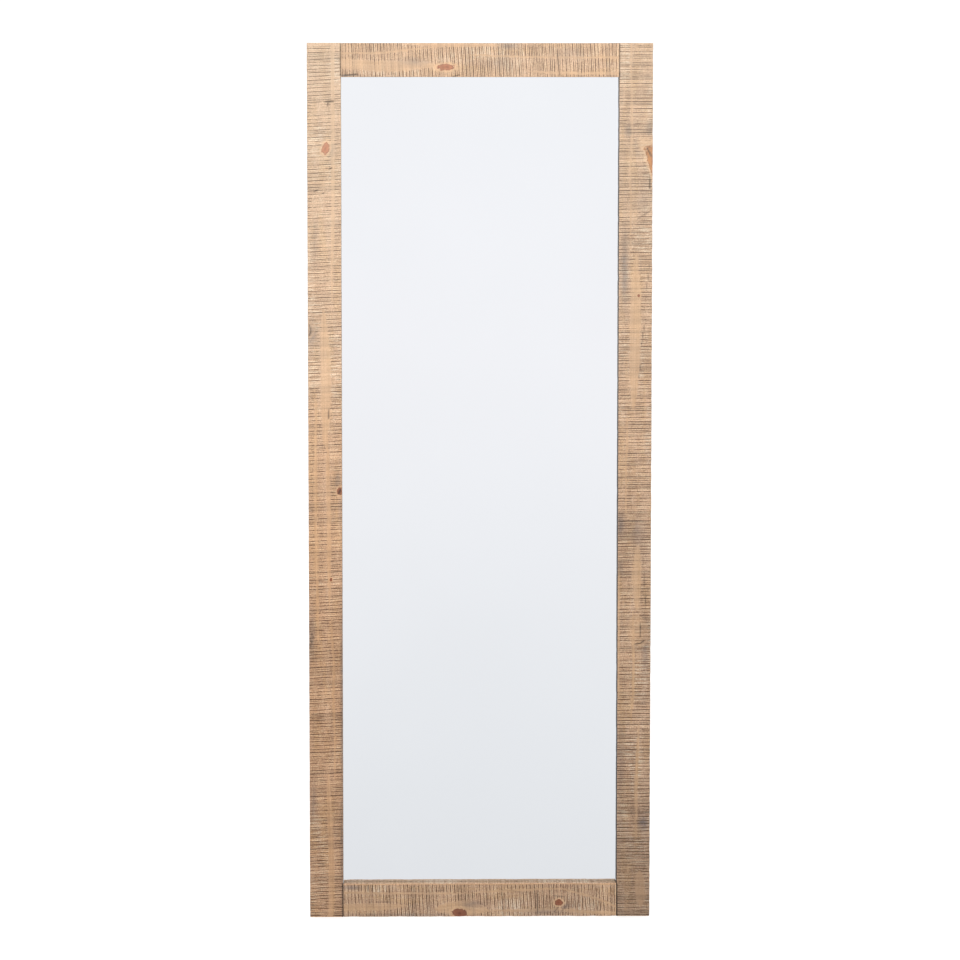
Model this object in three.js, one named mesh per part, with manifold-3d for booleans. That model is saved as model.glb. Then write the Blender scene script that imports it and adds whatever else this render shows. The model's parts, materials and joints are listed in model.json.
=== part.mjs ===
// Full-length floor mirror: a rough-sawn wooden frame round a plain mirror, which leans back on an
// easel stand hinged to its back. Millimetres, +Z up. The glass faces -Y, and left is -X.
// The origin is on the floor, under the middle of everything the mirror stands on.

import * as THREE from 'three';
import { mergeVertices } from 'three/addons/utils/BufferGeometryUtils.js';
import Module from 'manifold-3d';

// ---- driving dimensions ----

const WIDTH = 705; // frame, edge to edge
const HEIGHT = 1803;
const MEMBER = 69; // face width of the stiles and rails
const THICK = 40; // frame, front to back
const LIP = 26; // depth of the lip in front of the glass
const REBATE = 16; // width of the rebate behind that lip
const GAP = 0.3; // clearance between pieces that touch

const GLASS_LAP = 10; // how far the lip covers the glass
const GLASS_THICK = 4;
const BOARD_THICK = 3;
const BATTEN_WIDTH = 20;
const BATTEN_THICK = 6;
const BLOCK_LENGTH = 40; // setting blocks under the glass
const BLOCK_X = 190;

const DOWEL_RADIUS = 5;
const DOWEL_LENGTH = 70;
const DOWEL_OFFSETS = [19, 50]; // from the end of the frame

const PLATE_ARM = 100; // steel corner plates
const PLATE_WIDTH = 18;
const PLATE_THICK = 2.5;
const PLATE_INSET = 15; // from the outer edges of the frame
const PLATE_HOLE = 2.3;
const PLATE_HOLE_PARTS = [0.45, 0.88]; // places of the holes, as parts of an arm's length

const LEAN = 9; // degrees that the mirror leans back
const SPLAY = 9; // degrees that the legs slope the other way
const FRONT_LIFT = 8.3; // front bottom edge of the frame, above the floor

const HINGE_HEIGHT = 1250; // hinge axis, up the back of the frame
const HINGE_X = 150; // middle of each hinge, from the centre line
const HINGE_LENGTH = 76;
const HINGE_SPLIT = 3; // gap between the hinge rail and the folded stand
const LEAF_WIDTH = 30; // from the axis to the edge of the leaf
const LEAF_THICK = 2;
const BARREL_RADIUS = 4.5;
const PIN_RADIUS = 2.5;
const PIN_HEAD = 1.5;
const KNUCKLES = 5;
const LEAF_HOLE = 2.2;
const LEAF_HOLE_PARTS = [[-0.36, 0.5], [0, 0.74], [0.36, 0.5]]; // of the leaf's length and width
const LEAF_CLEARANCE = 0.7; // between a leaf and the other leaf's barrel

const HINGE_RAIL_HALF = 340; // half of its length
const HINGE_RAIL_HIGH = 60;
const HINGE_RAIL_THICK = 26;
const RAIL_SCREW_X = 326;
const RAIL_SCREW_LENGTH = 50;
const RAIL_SCREW_RADIUS = 2.75;
const RAIL_SCREW_HEAD = 5.5;
const RAIL_SCREW_TAPER = 4; // length of its point and of its countersunk head
const HOLE_SPARE = 1; // how much deeper a screw hole is than the screw

const LEG_OUT = 260; // outer face of each leg, from the centre line
const LEG_WIDTH = 45;
const LEG_THICK = 22;
const CROSS_THICK = 18; // middle and bottom cross rails of the stand
const CROSS_HIGH = 45;
const TOP_CROSS_HIGH = 60;
const MIDDLE_CROSS_DROP = 560; // top edges, below the hinge axis
const BOTTOM_CROSS_DROP = 1110;
const TENON_LENGTH = 20;
const TENON_THICK = 8;
const TENON_SHOULDER = 8;

const STAY_FOOT = 360; // pivot on the frame, below the hinge axis
const STAY_HEAD = 180; // stud on the leg, below the hinge axis
const STAY_THICK = 3;
const STAY_HALF = 9; // half of the bar's width
const STUD_RADIUS = 3;
const STUD_HEAD = 7.5;
const STUD_HEAD_THICK = 2.5;
const STUD_COLLAR = 5.5;
const STUD_SCREW_RADIUS = 2.5;
const STUD_SCREW_DEPTH = 22;
const SLOT_HALF = 4.5;
const STAY_END = 4; // how far the bar's round end sits past the slot's
const RIVET_RADIUS = 3;
const RIVET_HEAD = 6;
const RIVET_HEAD_THICK = 2.3;
const EDGE_SLOPE = 1.4; // how far the edges of round heads slope
const BRACKET_HIGH = 44;
const BRACKET_OUT = 336; // outer edge of the bracket's base, from the centre line
const BRACKET_SCREW_X = 320;
const BRACKET_SCREW_Z = 14; // each side of the pivot
const BRACKET_SCREW_RADIUS = 2;
const BRACKET_SCREW_DEPTH = 20;
const BRACKET_SCREW_HEAD = 4;
const BRACKET_SCREW_HEAD_THICK = 2.4;
const SCREW_POINT = 3;

const FOOT_FRONT = 28; // rubber wedges under the stiles, behind the face of the frame
const FOOT_BACK = 39;
const FOOT_LENGTH = 50;
const PAD_THICK = 5; // rubber pads under the legs
const PAD_MARGIN = 2;
const BUMPER_RADIUS = 8;
const BUMPER_THICK = 3.6;
const BUMPER_HEIGHT = 44; // up the back of the frame

// ---- places worked out from them ----

const FOLD = LEAN + SPLAY; // angle between the frame and the open stand
const SIGHT = WIDTH / 2 - MEMBER; // half of the opening that shows the mirror
const POCKET = SIGHT + REBATE; // half of the rebated pocket's width
const POCKET_LOW = MEMBER - REBATE;
const BOARD_FRONT = LIP + GLASS_THICK + 2 * GAP;
const BATTEN_FRONT = BOARD_FRONT + BOARD_THICK + GAP;
const BACK = THICK + GAP; // front of whatever is screwed to the frame's back
const AXIS_Y = BACK + HINGE_RAIL_THICK + GAP + BARREL_RADIUS;
const STAND_BACK = -BARREL_RADIUS - GAP; // from the hinge axis
const STAND_FRONT = STAND_BACK - LEG_THICK;
const STAND_MIDDLE = (STAND_BACK + STAND_FRONT) / 2;
const LEG_IN = LEG_OUT - LEG_WIDTH;
const BAR_IN = LEG_OUT + 4; // inner face of the slotted bars
const BAR_OUT = BAR_IN + STAY_THICK;
const EAR_IN = BAR_OUT + GAP;
const EAR_OUT = EAR_IN + STAY_THICK;
const RAIL_SCREW_TIP = BACK + HINGE_RAIL_THICK - RAIL_SCREW_LENGTH;
const BRACKET_SCREW_TIP = BACK - BRACKET_SCREW_DEPTH;

const radians = THREE.MathUtils.degToRad;
const X = new THREE.Vector3(1, 0, 0);
const Y = new THREE.Vector3(0, 1, 0);
const Z = new THREE.Vector3(0, 0, 1);
const SIDES = [['left', -1], ['right', 1]];

const AXIS_ABOVE_FLOOR =
  FRONT_LIFT - AXIS_Y * Math.sin(radians(LEAN)) + HINGE_HEIGHT * Math.cos(radians(LEAN));

// ---- solids ----

const wasm = await Module();
wasm.setup();

function toSolid(geometry) {
  const plain = geometry.clone();
  plain.deleteAttribute('normal');
  plain.deleteAttribute('uv');
  const merged = mergeVertices(plain, 1e-4);
  return new wasm.Manifold(new wasm.Mesh({
    numProp: 3,
    vertProperties: merged.attributes.position.array,
    triVerts: new Uint32Array(merged.index.array),
  }));
}

function toGeometry(solid) {
  const mesh = solid.getMesh();
  const geometry = new THREE.BufferGeometry();
  geometry.setAttribute('position', new THREE.BufferAttribute(mesh.vertProperties, 3));
  geometry.setIndex(new THREE.BufferAttribute(mesh.triVerts, 1));
  geometry.computeVertexNormals();
  return geometry;
}

function join(pieces) {
  return toGeometry(pieces.map(toSolid).reduce((whole, piece) => whole.add(piece)));
}

function cut(base, tools) {
  return toGeometry(tools.reduce((rest, tool) => rest.subtract(toSolid(tool)), toSolid(base)));
}

// A block between two places on each axis, in either order.
function block(xs, ys, zs) {
  const ranges = [xs, ys, zs];
  const size = ranges.map(([a, b]) => Math.abs(b - a));
  const centre = ranges.map(([a, b]) => (a + b) / 2);
  return new THREE.BoxGeometry(...size).translate(...centre);
}

// A (y, z) outline pushed along X from one place to another, in either order.
function alongX(outline, [xa, xb]) {
  const settings = { depth: Math.abs(xb - xa), bevelEnabled: false, curveSegments: 8 };
  return new THREE.ExtrudeGeometry(outline, settings)
    .applyMatrix4(new THREE.Matrix4().makeBasis(Y, Z, X))
    .translate(Math.min(xa, xb), 0, 0);
}

// An (x, z) outline pushed along Y.
function alongY(outline, [front, back]) {
  const settings = { depth: back - front, bevelEnabled: false, curveSegments: 6 };
  return new THREE.ExtrudeGeometry(outline, settings)
    .applyMatrix4(new THREE.Matrix4().makeBasis(X, Z, Y.clone().negate()))
    .translate(0, back, 0);
}

// A Shape through these corners, turned anticlockwise if they aren't, as holes need.
function polygon(points) {
  const corners = points.map(([a, b]) => new THREE.Vector2(a, b));
  return new THREE.Shape(THREE.ShapeUtils.isClockWise(corners) ? corners.reverse() : corners);
}

function roundHole(a, b, radius) {
  return new THREE.Path().absarc(a, b, radius, 0, 2 * Math.PI, true);
}

// A strip with round ends along the second axis, as a Shape or, for a slot, a Path.
function roundEnded(Kind, half, from, to) {
  const outline = new Kind();
  outline.absarc(0, to, half, 0, Math.PI, false);
  outline.absarc(0, from, half, Math.PI, 2 * Math.PI, false);
  outline.closePath();
  return outline;
}

function rodX(radius, [xa, xb], y, z, facets = 16) {
  return new THREE.CylinderGeometry(radius, radius, Math.abs(xb - xa), facets)
    .rotateZ(Math.PI / 2).translate((xa + xb) / 2, y, z);
}

function rodY(radius, [ya, yb], x, z, facets = 12) {
  return new THREE.CylinderGeometry(radius, radius, Math.abs(yb - ya), facets)
    .translate(x, (ya + yb) / 2, z);
}

// A turned piece from (radius, distance) points, with its axis along Y.
function turned(points, facets = 12) {
  return new THREE.LatheGeometry(points.map(([r, h]) => new THREE.Vector2(r, h)), facets);
}

// The same with its axis along X, pointing away from the centre line on either side.
function turnedOutwards(points, side, facets = 14) {
  return turned(points, facets).rotateZ(-side * Math.PI / 2);
}

// ---- materials ----

function material(color, roughness, metalness = 0) {
  return new THREE.MeshStandardMaterial({ color, roughness, metalness });
}

const reclaimedPine = () => material(0xc4a07a, 0.85);
const planedPine = () => material(0xcaa678, 0.7);
const beech = () => material(0xd2b083, 0.7);
const silvered = () => material(0xe9edf1, 0.02, 1);
const hardboard = () => material(0x7a5638, 0.8);
const zincSteel = () => material(0xb4b6b4, 0.35, 1);
const rubber = () => material(0x1c1c1d, 0.9);

function add(group, name, geometry, look) {
  const mesh = new THREE.Mesh(geometry, look);
  mesh.name = name;
  group.add(mesh);
}

// ---- frame ----

function pocket() {
  return block([-POCKET, POCKET], [LIP, THICK + 1], [POCKET_LOW, HEIGHT - POCKET_LOW]);
}

// [name, side, height, centre of the dowel] for the eight dowels.
function dowelPlaces() {
  const places = [];
  for (const [sideName, side] of SIDES) {
    for (const offset of DOWEL_OFFSETS) {
      const place = offset === DOWEL_OFFSETS[0] ? 'outer' : 'inner';
      places.push([`dowel_bottom_${sideName}_${place}`, side, offset]);
      places.push([`dowel_top_${sideName}_${place}`, side, HEIGHT - offset]);
    }
  }
  return places;
}

function dowel(side, height, clearance = 0) {
  const half = DOWEL_LENGTH / 2 + clearance;
  const middle = side * (SIGHT - GAP / 2);
  return rodX(DOWEL_RADIUS + clearance, [middle - half, middle + half], LIP / 2, height, 12);
}

function stile(side) {
  const bar = block([side * SIGHT, side * WIDTH / 2], [0, THICK], [0, HEIGHT]);
  const holes = dowelPlaces().filter((place) => place[1] === side)
    .map((place) => dowel(side, place[2], GAP));
  for (const z of railScrewHeights()) {
    holes.push(screwHole(side * RAIL_SCREW_X, z, RAIL_SCREW_RADIUS, RAIL_SCREW_TIP));
  }
  for (const z of bracketScrewHeights()) {
    holes.push(screwHole(side * BRACKET_SCREW_X, z, BRACKET_SCREW_RADIUS, BRACKET_SCREW_TIP));
  }
  return cut(bar, [pocket(), ...holes]);
}

function rail(low) {
  const half = SIGHT - GAP;
  const bar = block([-half, half], [0, THICK], [low, low + MEMBER]);
  const holes = dowelPlaces().filter((place) => place[2] > low && place[2] < low + MEMBER)
    .map((place) => dowel(place[1], place[2], GAP));
  return cut(bar, [pocket(), ...holes]);
}

function screwHole(x, z, radius, tip) {
  return rodY(radius + GAP, [tip - HOLE_SPARE, BACK + STAY_THICK + 1], x, z);
}

function addFrame(panel) {
  add(panel, 'left_stile', stile(-1), reclaimedPine());
  add(panel, 'right_stile', stile(1), reclaimedPine());
  add(panel, 'bottom_rail', rail(0), reclaimedPine());
  add(panel, 'top_rail', rail(HEIGHT - MEMBER), reclaimedPine());
  for (const [name, side, height] of dowelPlaces()) {
    add(panel, name, dowel(side, height), beech());
  }
}

// ---- glass and what holds it in the rebate ----

function addMirror(panel) {
  const glassHalf = SIGHT + GLASS_LAP;
  const glassLow = MEMBER - GLASS_LAP;
  const glassDepth = [LIP + GAP, LIP + GAP + GLASS_THICK];
  add(panel, 'mirror_glass',
    block([-glassHalf, glassHalf], glassDepth, [glassLow, HEIGHT - glassLow]), silvered());
  for (const [name, side] of SIDES) {
    const xs = [side * BLOCK_X, side * (BLOCK_X + BLOCK_LENGTH)];
    add(panel, `setting_block_${name}`,
      block(xs, glassDepth, [POCKET_LOW + GAP, glassLow - GAP]), rubber());
  }

  const half = POCKET - GAP;
  const low = POCKET_LOW + GAP;
  const boardDepth = [BOARD_FRONT, BOARD_FRONT + BOARD_THICK];
  add(panel, 'backing_board', block([-half, half], boardDepth, [low, HEIGHT - low]), hardboard());

  const battenDepth = [BATTEN_FRONT, BATTEN_FRONT + BATTEN_THICK];
  for (const [name, side] of SIDES) {
    const xs = [side * half, side * (half - BATTEN_WIDTH)];
    add(panel, `batten_${name}`, block(xs, battenDepth, [low, HEIGHT - low]), planedPine());
  }
  const inner = half - BATTEN_WIDTH - GAP;
  add(panel, 'batten_bottom',
    block([-inner, inner], battenDepth, [low, low + BATTEN_WIDTH]), planedPine());
  add(panel, 'batten_top',
    block([-inner, inner], battenDepth, [HEIGHT - low, HEIGHT - low - BATTEN_WIDTH]), planedPine());
}

// ---- steel corner plates on the back of the frame ----

// Centres of a plate's four screw holes, along the plate from its outer corner.
function plateHoles() {
  const centre = PLATE_WIDTH / 2;
  const steps = PLATE_HOLE_PARTS.map((part) => part * PLATE_ARM);
  return [...steps.map((step) => [step, centre]), ...steps.map((step) => [centre, step])];
}

function cornerPlate(sideX, sideZ) {
  const cornerX = sideX * (WIDTH / 2 - PLATE_INSET);
  const cornerZ = sideZ > 0 ? HEIGHT - PLATE_INSET : PLATE_INSET;
  const place = ([a, b]) => [cornerX - sideX * a, cornerZ - sideZ * b];
  const outline = polygon([
    [0, 0], [PLATE_ARM, 0], [PLATE_ARM, PLATE_WIDTH],
    [PLATE_WIDTH, PLATE_WIDTH], [PLATE_WIDTH, PLATE_ARM], [0, PLATE_ARM],
  ].map(place));
  outline.holes = plateHoles().map(place).map(([x, z]) => roundHole(x, z, PLATE_HOLE));
  return alongY(outline, [BACK, BACK + PLATE_THICK]);
}

function addCornerPlates(panel) {
  for (const [name, sideX] of SIDES) {
    add(panel, `corner_plate_bottom_${name}`, cornerPlate(sideX, -1), zincSteel());
    add(panel, `corner_plate_top_${name}`, cornerPlate(sideX, 1), zincSteel());
  }
}

// ---- hinge rail and its screws ----

function railScrewHeights() {
  const low = HINGE_HEIGHT + HINGE_SPLIT / 2;
  return [low + 0.25 * HINGE_RAIL_HIGH, low + 0.75 * HINGE_RAIL_HIGH];
}

// A countersunk screw from the back, as a (radius, y) outline from its tip to its head.
function railScrewOutline(clearance = 0) {
  const head = BACK + HINGE_RAIL_THICK;
  const tip = RAIL_SCREW_TIP - clearance;
  const shank = RAIL_SCREW_RADIUS + clearance;
  const flare = RAIL_SCREW_HEAD + clearance;
  const [low, high] = [tip + RAIL_SCREW_TAPER, head - RAIL_SCREW_TAPER];
  return [[0, tip], [shank, low], [shank, high], [flare, head], [0, head]];
}

function addHingeRail(panel) {
  const low = HINGE_HEIGHT + HINGE_SPLIT / 2;
  const depth = [BACK, BACK + HINGE_RAIL_THICK];
  const bar = block([-HINGE_RAIL_HALF, HINGE_RAIL_HALF], depth, [low, low + HINGE_RAIL_HIGH]);
  const places = SIDES.flatMap(([name, side]) => railScrewHeights().map((z, step) => [
    `rail_screw_${name}_${step ? 'upper' : 'lower'}`, side * RAIL_SCREW_X, z,
  ]));
  const holes = places.map(([, x, z]) => turned(railScrewOutline(GAP)).translate(x, 0.01, z));
  add(panel, 'hinge_rail', cut(bar, holes), planedPine());
  for (const [name, x, z] of places) {
    add(panel, name, turned(railScrewOutline()).translate(x, 0, z), zincSteel());
  }
}

// ---- butt hinges ----

// One leaf, from its hinge's axis: up is 1 for the leaf on the frame and -1 for the stand's.
function hingeLeaf(middle, up) {
  const pitch = HINGE_LENGTH / KNUCKLES;
  const start = middle - HINGE_LENGTH / 2;
  const depth = [-BARREL_RADIUS, -BARREL_RADIUS + LEAF_THICK];
  const clear = BARREL_RADIUS + LEAF_CLEARANCE;
  const plate = block([start, start + HINGE_LENGTH], depth, [up * clear, up * LEAF_WIDTH]);
  const barrel = [];
  for (let k = up > 0 ? 0 : 1; k < KNUCKLES; k += 2) {
    const xs = [start + k * pitch + GAP / 2, start + (k + 1) * pitch - GAP / 2];
    barrel.push(rodX(BARREL_RADIUS, xs, 0, 0), block(xs, depth, [0, up * (clear + 1)]));
  }
  const holes = LEAF_HOLE_PARTS.map(([along, across]) => {
    const x = middle + along * HINGE_LENGTH;
    return rodY(LEAF_HOLE, [-BARREL_RADIUS - 1, 0], x, up * across * LEAF_WIDTH);
  });
  const bore = rodX(PIN_RADIUS + GAP, [start - 1, start + HINGE_LENGTH + 1], 0, 0);
  return cut(join([plate, ...barrel]), [bore, ...holes]);
}

function hingePin(middle) {
  const end = HINGE_LENGTH / 2 + GAP;
  const head = end + PIN_HEAD;
  const wide = PIN_RADIUS + 1;
  return turned([
    [0, -head], [wide, -head], [wide, -end], [PIN_RADIUS, -end],
    [PIN_RADIUS, end], [wide, end], [wide, head], [0, head],
  ], 16).rotateZ(-Math.PI / 2).translate(middle, 0, 0);
}

function addHinges(onFrame, onStand) {
  for (const [name, side] of SIDES) {
    add(onFrame, `hinge_frame_leaf_${name}`, hingeLeaf(side * HINGE_X, 1), zincSteel());
    add(onFrame, `hinge_pin_${name}`, hingePin(side * HINGE_X), zincSteel());
    add(onStand, `hinge_stand_leaf_${name}`, hingeLeaf(side * HINGE_X, -1), zincSteel());
  }
}

// ---- easel stand, from the hinge axis, with its legs along -Z ----

// Height along a leg at which a point that far back lies the given height above the floor.
function standLevel(y, aboveFloor) {
  const angle = radians(SPLAY);
  return (aboveFloor - AXIS_ABOVE_FLOOR - y * Math.sin(angle)) / Math.cos(angle);
}

// Top edge, height and thickness of the three cross rails.
const CROSS_RAILS = [
  ['stand_top_rail', -HINGE_SPLIT / 2, TOP_CROSS_HIGH, LEG_THICK],
  ['stand_middle_rail', -MIDDLE_CROSS_DROP, CROSS_HIGH, CROSS_THICK],
  ['stand_bottom_rail', -BOTTOM_CROSS_DROP, CROSS_HIGH, CROSS_THICK],
];

function tenons(top, height, clearance = 0) {
  const half = LEG_IN + TENON_LENGTH + clearance;
  const thick = TENON_THICK / 2 + clearance;
  const low = top - height + TENON_SHOULDER - clearance;
  const depth = [STAND_MIDDLE - thick, STAND_MIDDLE + thick];
  return block([-half, half], depth, [low, top - TENON_SHOULDER + clearance]);
}

function crossRail(top, height, thick) {
  const half = LEG_IN - GAP;
  const depth = [STAND_MIDDLE - thick / 2, STAND_MIDDLE + thick / 2];
  return join([block([-half, half], depth, [top - height, top]), tenons(top, height)]);
}

function leg(side) {
  const outline = polygon([
    [STAND_FRONT, standLevel(STAND_FRONT, PAD_THICK + GAP)],
    [STAND_BACK, standLevel(STAND_BACK, PAD_THICK + GAP)],
    [STAND_BACK, -HINGE_SPLIT / 2],
    [STAND_FRONT, -HINGE_SPLIT / 2],
  ]);
  const mortises = CROSS_RAILS.map(([, top, height]) => tenons(top, height, GAP));
  const studIn = [side * (LEG_OUT - STUD_SCREW_DEPTH - HOLE_SPARE), side * (LEG_OUT + 1)];
  const studHole = rodX(STUD_SCREW_RADIUS + GAP, studIn, STAND_MIDDLE, -STAY_HEAD);
  return cut(alongX(outline, [side * LEG_IN, side * LEG_OUT]), [...mortises, studHole]);
}

function legPad(side) {
  const front = STAND_FRONT - PAD_MARGIN;
  const back = STAND_BACK + PAD_MARGIN;
  const outline = polygon([
    [front, standLevel(front, 0)], [back, standLevel(back, 0)],
    [back, standLevel(back, PAD_THICK)], [front, standLevel(front, PAD_THICK)],
  ]);
  return alongX(outline, [side * (LEG_IN - PAD_MARGIN), side * (LEG_OUT + PAD_MARGIN)]);
}

// Shouldered screw in the leg: a collar, a smooth length for the slot, and a flat head.
function stayStud(side) {
  const tip = LEG_OUT - STUD_SCREW_DEPTH;
  const seat = LEG_OUT + GAP;
  const collar = BAR_IN - GAP;
  const head = BAR_OUT + GAP;
  const end = head + STUD_HEAD_THICK;
  return turnedOutwards([
    [0, tip], [STUD_SCREW_RADIUS, tip + SCREW_POINT], [STUD_SCREW_RADIUS, seat],
    [STUD_COLLAR, seat], [STUD_COLLAR, collar], [STUD_RADIUS, collar], [STUD_RADIUS, head],
    [STUD_HEAD, head], [STUD_HEAD, end - EDGE_SLOPE], [STUD_HEAD - EDGE_SLOPE, end], [0, end],
  ], side).translate(0, STAND_MIDDLE, -STAY_HEAD);
}

function addStand(stand) {
  for (const [name, side] of SIDES) {
    add(stand, `stand_leg_${name}`, leg(side), planedPine());
    add(stand, `leg_pad_${name}`, legPad(side), rubber());
    add(stand, `stay_stud_${name}`, stayStud(side), zincSteel());
  }
  for (const [name, top, height, thick] of CROSS_RAILS) {
    add(stand, name, crossRail(top, height, thick), planedPine());
  }
}

// ---- slotted stays ----

const PIVOT_Y = AXIS_Y + STAND_MIDDLE;
const PIVOT_Z = HINGE_HEIGHT - STAY_FOOT;

function bracketScrewHeights() {
  return [PIVOT_Z - BRACKET_SCREW_Z, PIVOT_Z + BRACKET_SCREW_Z];
}

// From the stay's pivot to the stud on the open stand: how far back and how far up.
function stayReach() {
  const angle = radians(FOLD);
  const back = STAND_MIDDLE * Math.cos(angle) + STAY_HEAD * Math.sin(angle) - STAND_MIDDLE;
  const up = STAND_MIDDLE * Math.sin(angle) - STAY_HEAD * Math.cos(angle) + STAY_FOOT;
  return { back, up };
}

function stayBar(side) {
  const { back, up } = stayReach();
  const open = Math.hypot(back, up);
  const slotEnd = open + STUD_RADIUS + GAP - SLOT_HALF;
  const slotStart = STAY_FOOT - STAY_HEAD - STUD_RADIUS - 1 + SLOT_HALF;
  const outline = roundEnded(THREE.Shape, STAY_HALF, 0, slotEnd + STAY_END);
  outline.holes = [
    roundHole(0, 0, RIVET_RADIUS + GAP),
    roundEnded(THREE.Path, SLOT_HALF, slotStart, slotEnd),
  ];
  return alongX(outline, [side * BAR_IN, side * BAR_OUT]);
}

// Folded steel angle: a base screwed to the stile, and an ear that holds the rivet.
function stayBracket(side) {
  const low = PIVOT_Z - BRACKET_HIGH / 2;
  const high = PIVOT_Z + BRACKET_HIGH / 2;
  const base = block([side * EAR_IN, side * BRACKET_OUT], [BACK, BACK + STAY_THICK], [low, high]);
  const ear = new THREE.Shape();
  ear.moveTo(BACK, low);
  ear.lineTo(BACK + STAY_THICK, low);
  ear.absarc(PIVOT_Y, PIVOT_Z, STAY_HALF, -Math.PI / 2, Math.PI / 2, false);
  ear.lineTo(BACK + STAY_THICK, high);
  ear.lineTo(BACK, high);
  ear.closePath();
  const holes = bracketScrewHeights()
    .map((z) => screwHole(side * BRACKET_SCREW_X, z, BRACKET_SCREW_RADIUS, BACK));
  const through = [side * (EAR_IN - 1), side * (EAR_OUT + 1)];
  const bore = rodX(RIVET_RADIUS + GAP, through, PIVOT_Y, PIVOT_Z);
  return cut(join([base, alongX(ear, [side * EAR_IN, side * EAR_OUT])]), [bore, ...holes]);
}

function stayRivet(side) {
  const innerHead = BAR_IN - GAP;
  const innerEnd = innerHead - RIVET_HEAD_THICK;
  const outerHead = EAR_OUT + GAP;
  const outerEnd = outerHead + RIVET_HEAD_THICK;
  const crown = RIVET_HEAD - EDGE_SLOPE;
  return turnedOutwards([
    [0, innerEnd], [crown, innerEnd], [RIVET_HEAD, innerEnd + EDGE_SLOPE],
    [RIVET_HEAD, innerHead], [RIVET_RADIUS, innerHead], [RIVET_RADIUS, outerHead],
    [RIVET_HEAD, outerHead], [RIVET_HEAD, outerEnd - EDGE_SLOPE], [crown, outerEnd],
    [0, outerEnd],
  ], side).translate(0, PIVOT_Y, PIVOT_Z);
}

// Pan-headed screw from the back, through the bracket's base into the stile.
function bracketScrew() {
  const head = BACK + STAY_THICK + GAP;
  const end = head + BRACKET_SCREW_HEAD_THICK;
  return turned([
    [0, BRACKET_SCREW_TIP], [BRACKET_SCREW_RADIUS, BRACKET_SCREW_TIP + SCREW_POINT],
    [BRACKET_SCREW_RADIUS, head], [BRACKET_SCREW_HEAD, head],
    [BRACKET_SCREW_HEAD, end - EDGE_SLOPE], [BRACKET_SCREW_HEAD - EDGE_SLOPE, end], [0, end],
  ]);
}

function addStays(panel) {
  const { back, up } = stayReach();
  for (const [name, side] of SIDES) {
    add(panel, `stay_bracket_${name}`, stayBracket(side), zincSteel());
    add(panel, `stay_rivet_${name}`, stayRivet(side), zincSteel());
    bracketScrewHeights().forEach((z, step) => {
      add(panel, `bracket_screw_${name}_${step ? 'upper' : 'lower'}`,
        bracketScrew().translate(side * BRACKET_SCREW_X, 0, z), zincSteel());
    });
    const pivot = new THREE.Group();
    pivot.position.set(0, PIVOT_Y, PIVOT_Z);
    pivot.rotation.x = -Math.atan2(back, up);
    add(pivot, `stay_bar_${name}`, stayBar(side), zincSteel());
    panel.add(pivot);
  }
}

// ---- rubber feet and bumpers ----

function frameFoot(side) {
  const angle = radians(LEAN);
  const floor = (y) => (y * Math.sin(angle) - FRONT_LIFT) / Math.cos(angle);
  const outline = polygon([
    [FOOT_FRONT, floor(FOOT_FRONT)], [FOOT_BACK, floor(FOOT_BACK)],
    [FOOT_BACK, -GAP], [FOOT_FRONT, -GAP],
  ]);
  const middle = side * (WIDTH / 2 - MEMBER / 2);
  return alongX(outline, [middle - FOOT_LENGTH / 2, middle + FOOT_LENGTH / 2]);
}

function addRubber(panel) {
  for (const [name, side] of SIDES) {
    const legX = side * (LEG_OUT - LEG_WIDTH / 2);
    add(panel, `frame_foot_${name}`, frameFoot(side), rubber());
    add(panel, `bumper_${name}`,
      rodY(BUMPER_RADIUS, [BACK, BACK + BUMPER_THICK], legX, BUMPER_HEIGHT), rubber());
  }
}

// ---- assembly ----

const mirror = new THREE.Group();

const panel = new THREE.Group();
panel.position.z = FRONT_LIFT;
panel.rotation.x = -radians(LEAN);
mirror.add(panel);

const hingeAxis = new THREE.Group();
hingeAxis.position.set(0, AXIS_Y, HINGE_HEIGHT);
panel.add(hingeAxis);

const stand = new THREE.Group();
stand.rotation.x = radians(FOLD);
hingeAxis.add(stand);

addFrame(panel);
addMirror(panel);
addCornerPlates(panel);
addHingeRail(panel);
addHinges(hingeAxis, stand);
addStand(stand);
addStays(panel);
addRubber(panel);

// Centre the base on the origin, front to back.
mirror.updateMatrixWorld(true);
const bounds = new THREE.Box3().setFromObject(mirror, true);
mirror.position.y = -(bounds.min.y + bounds.max.y) / 2;

export default mirror;
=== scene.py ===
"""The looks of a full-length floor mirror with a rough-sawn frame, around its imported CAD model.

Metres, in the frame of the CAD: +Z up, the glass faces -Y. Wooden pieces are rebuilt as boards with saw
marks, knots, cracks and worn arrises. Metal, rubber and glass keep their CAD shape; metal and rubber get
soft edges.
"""

import json
import math

import bmesh
import bpy
import numpy as np
from mathutils import Matrix, Quaternion, Vector

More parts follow.
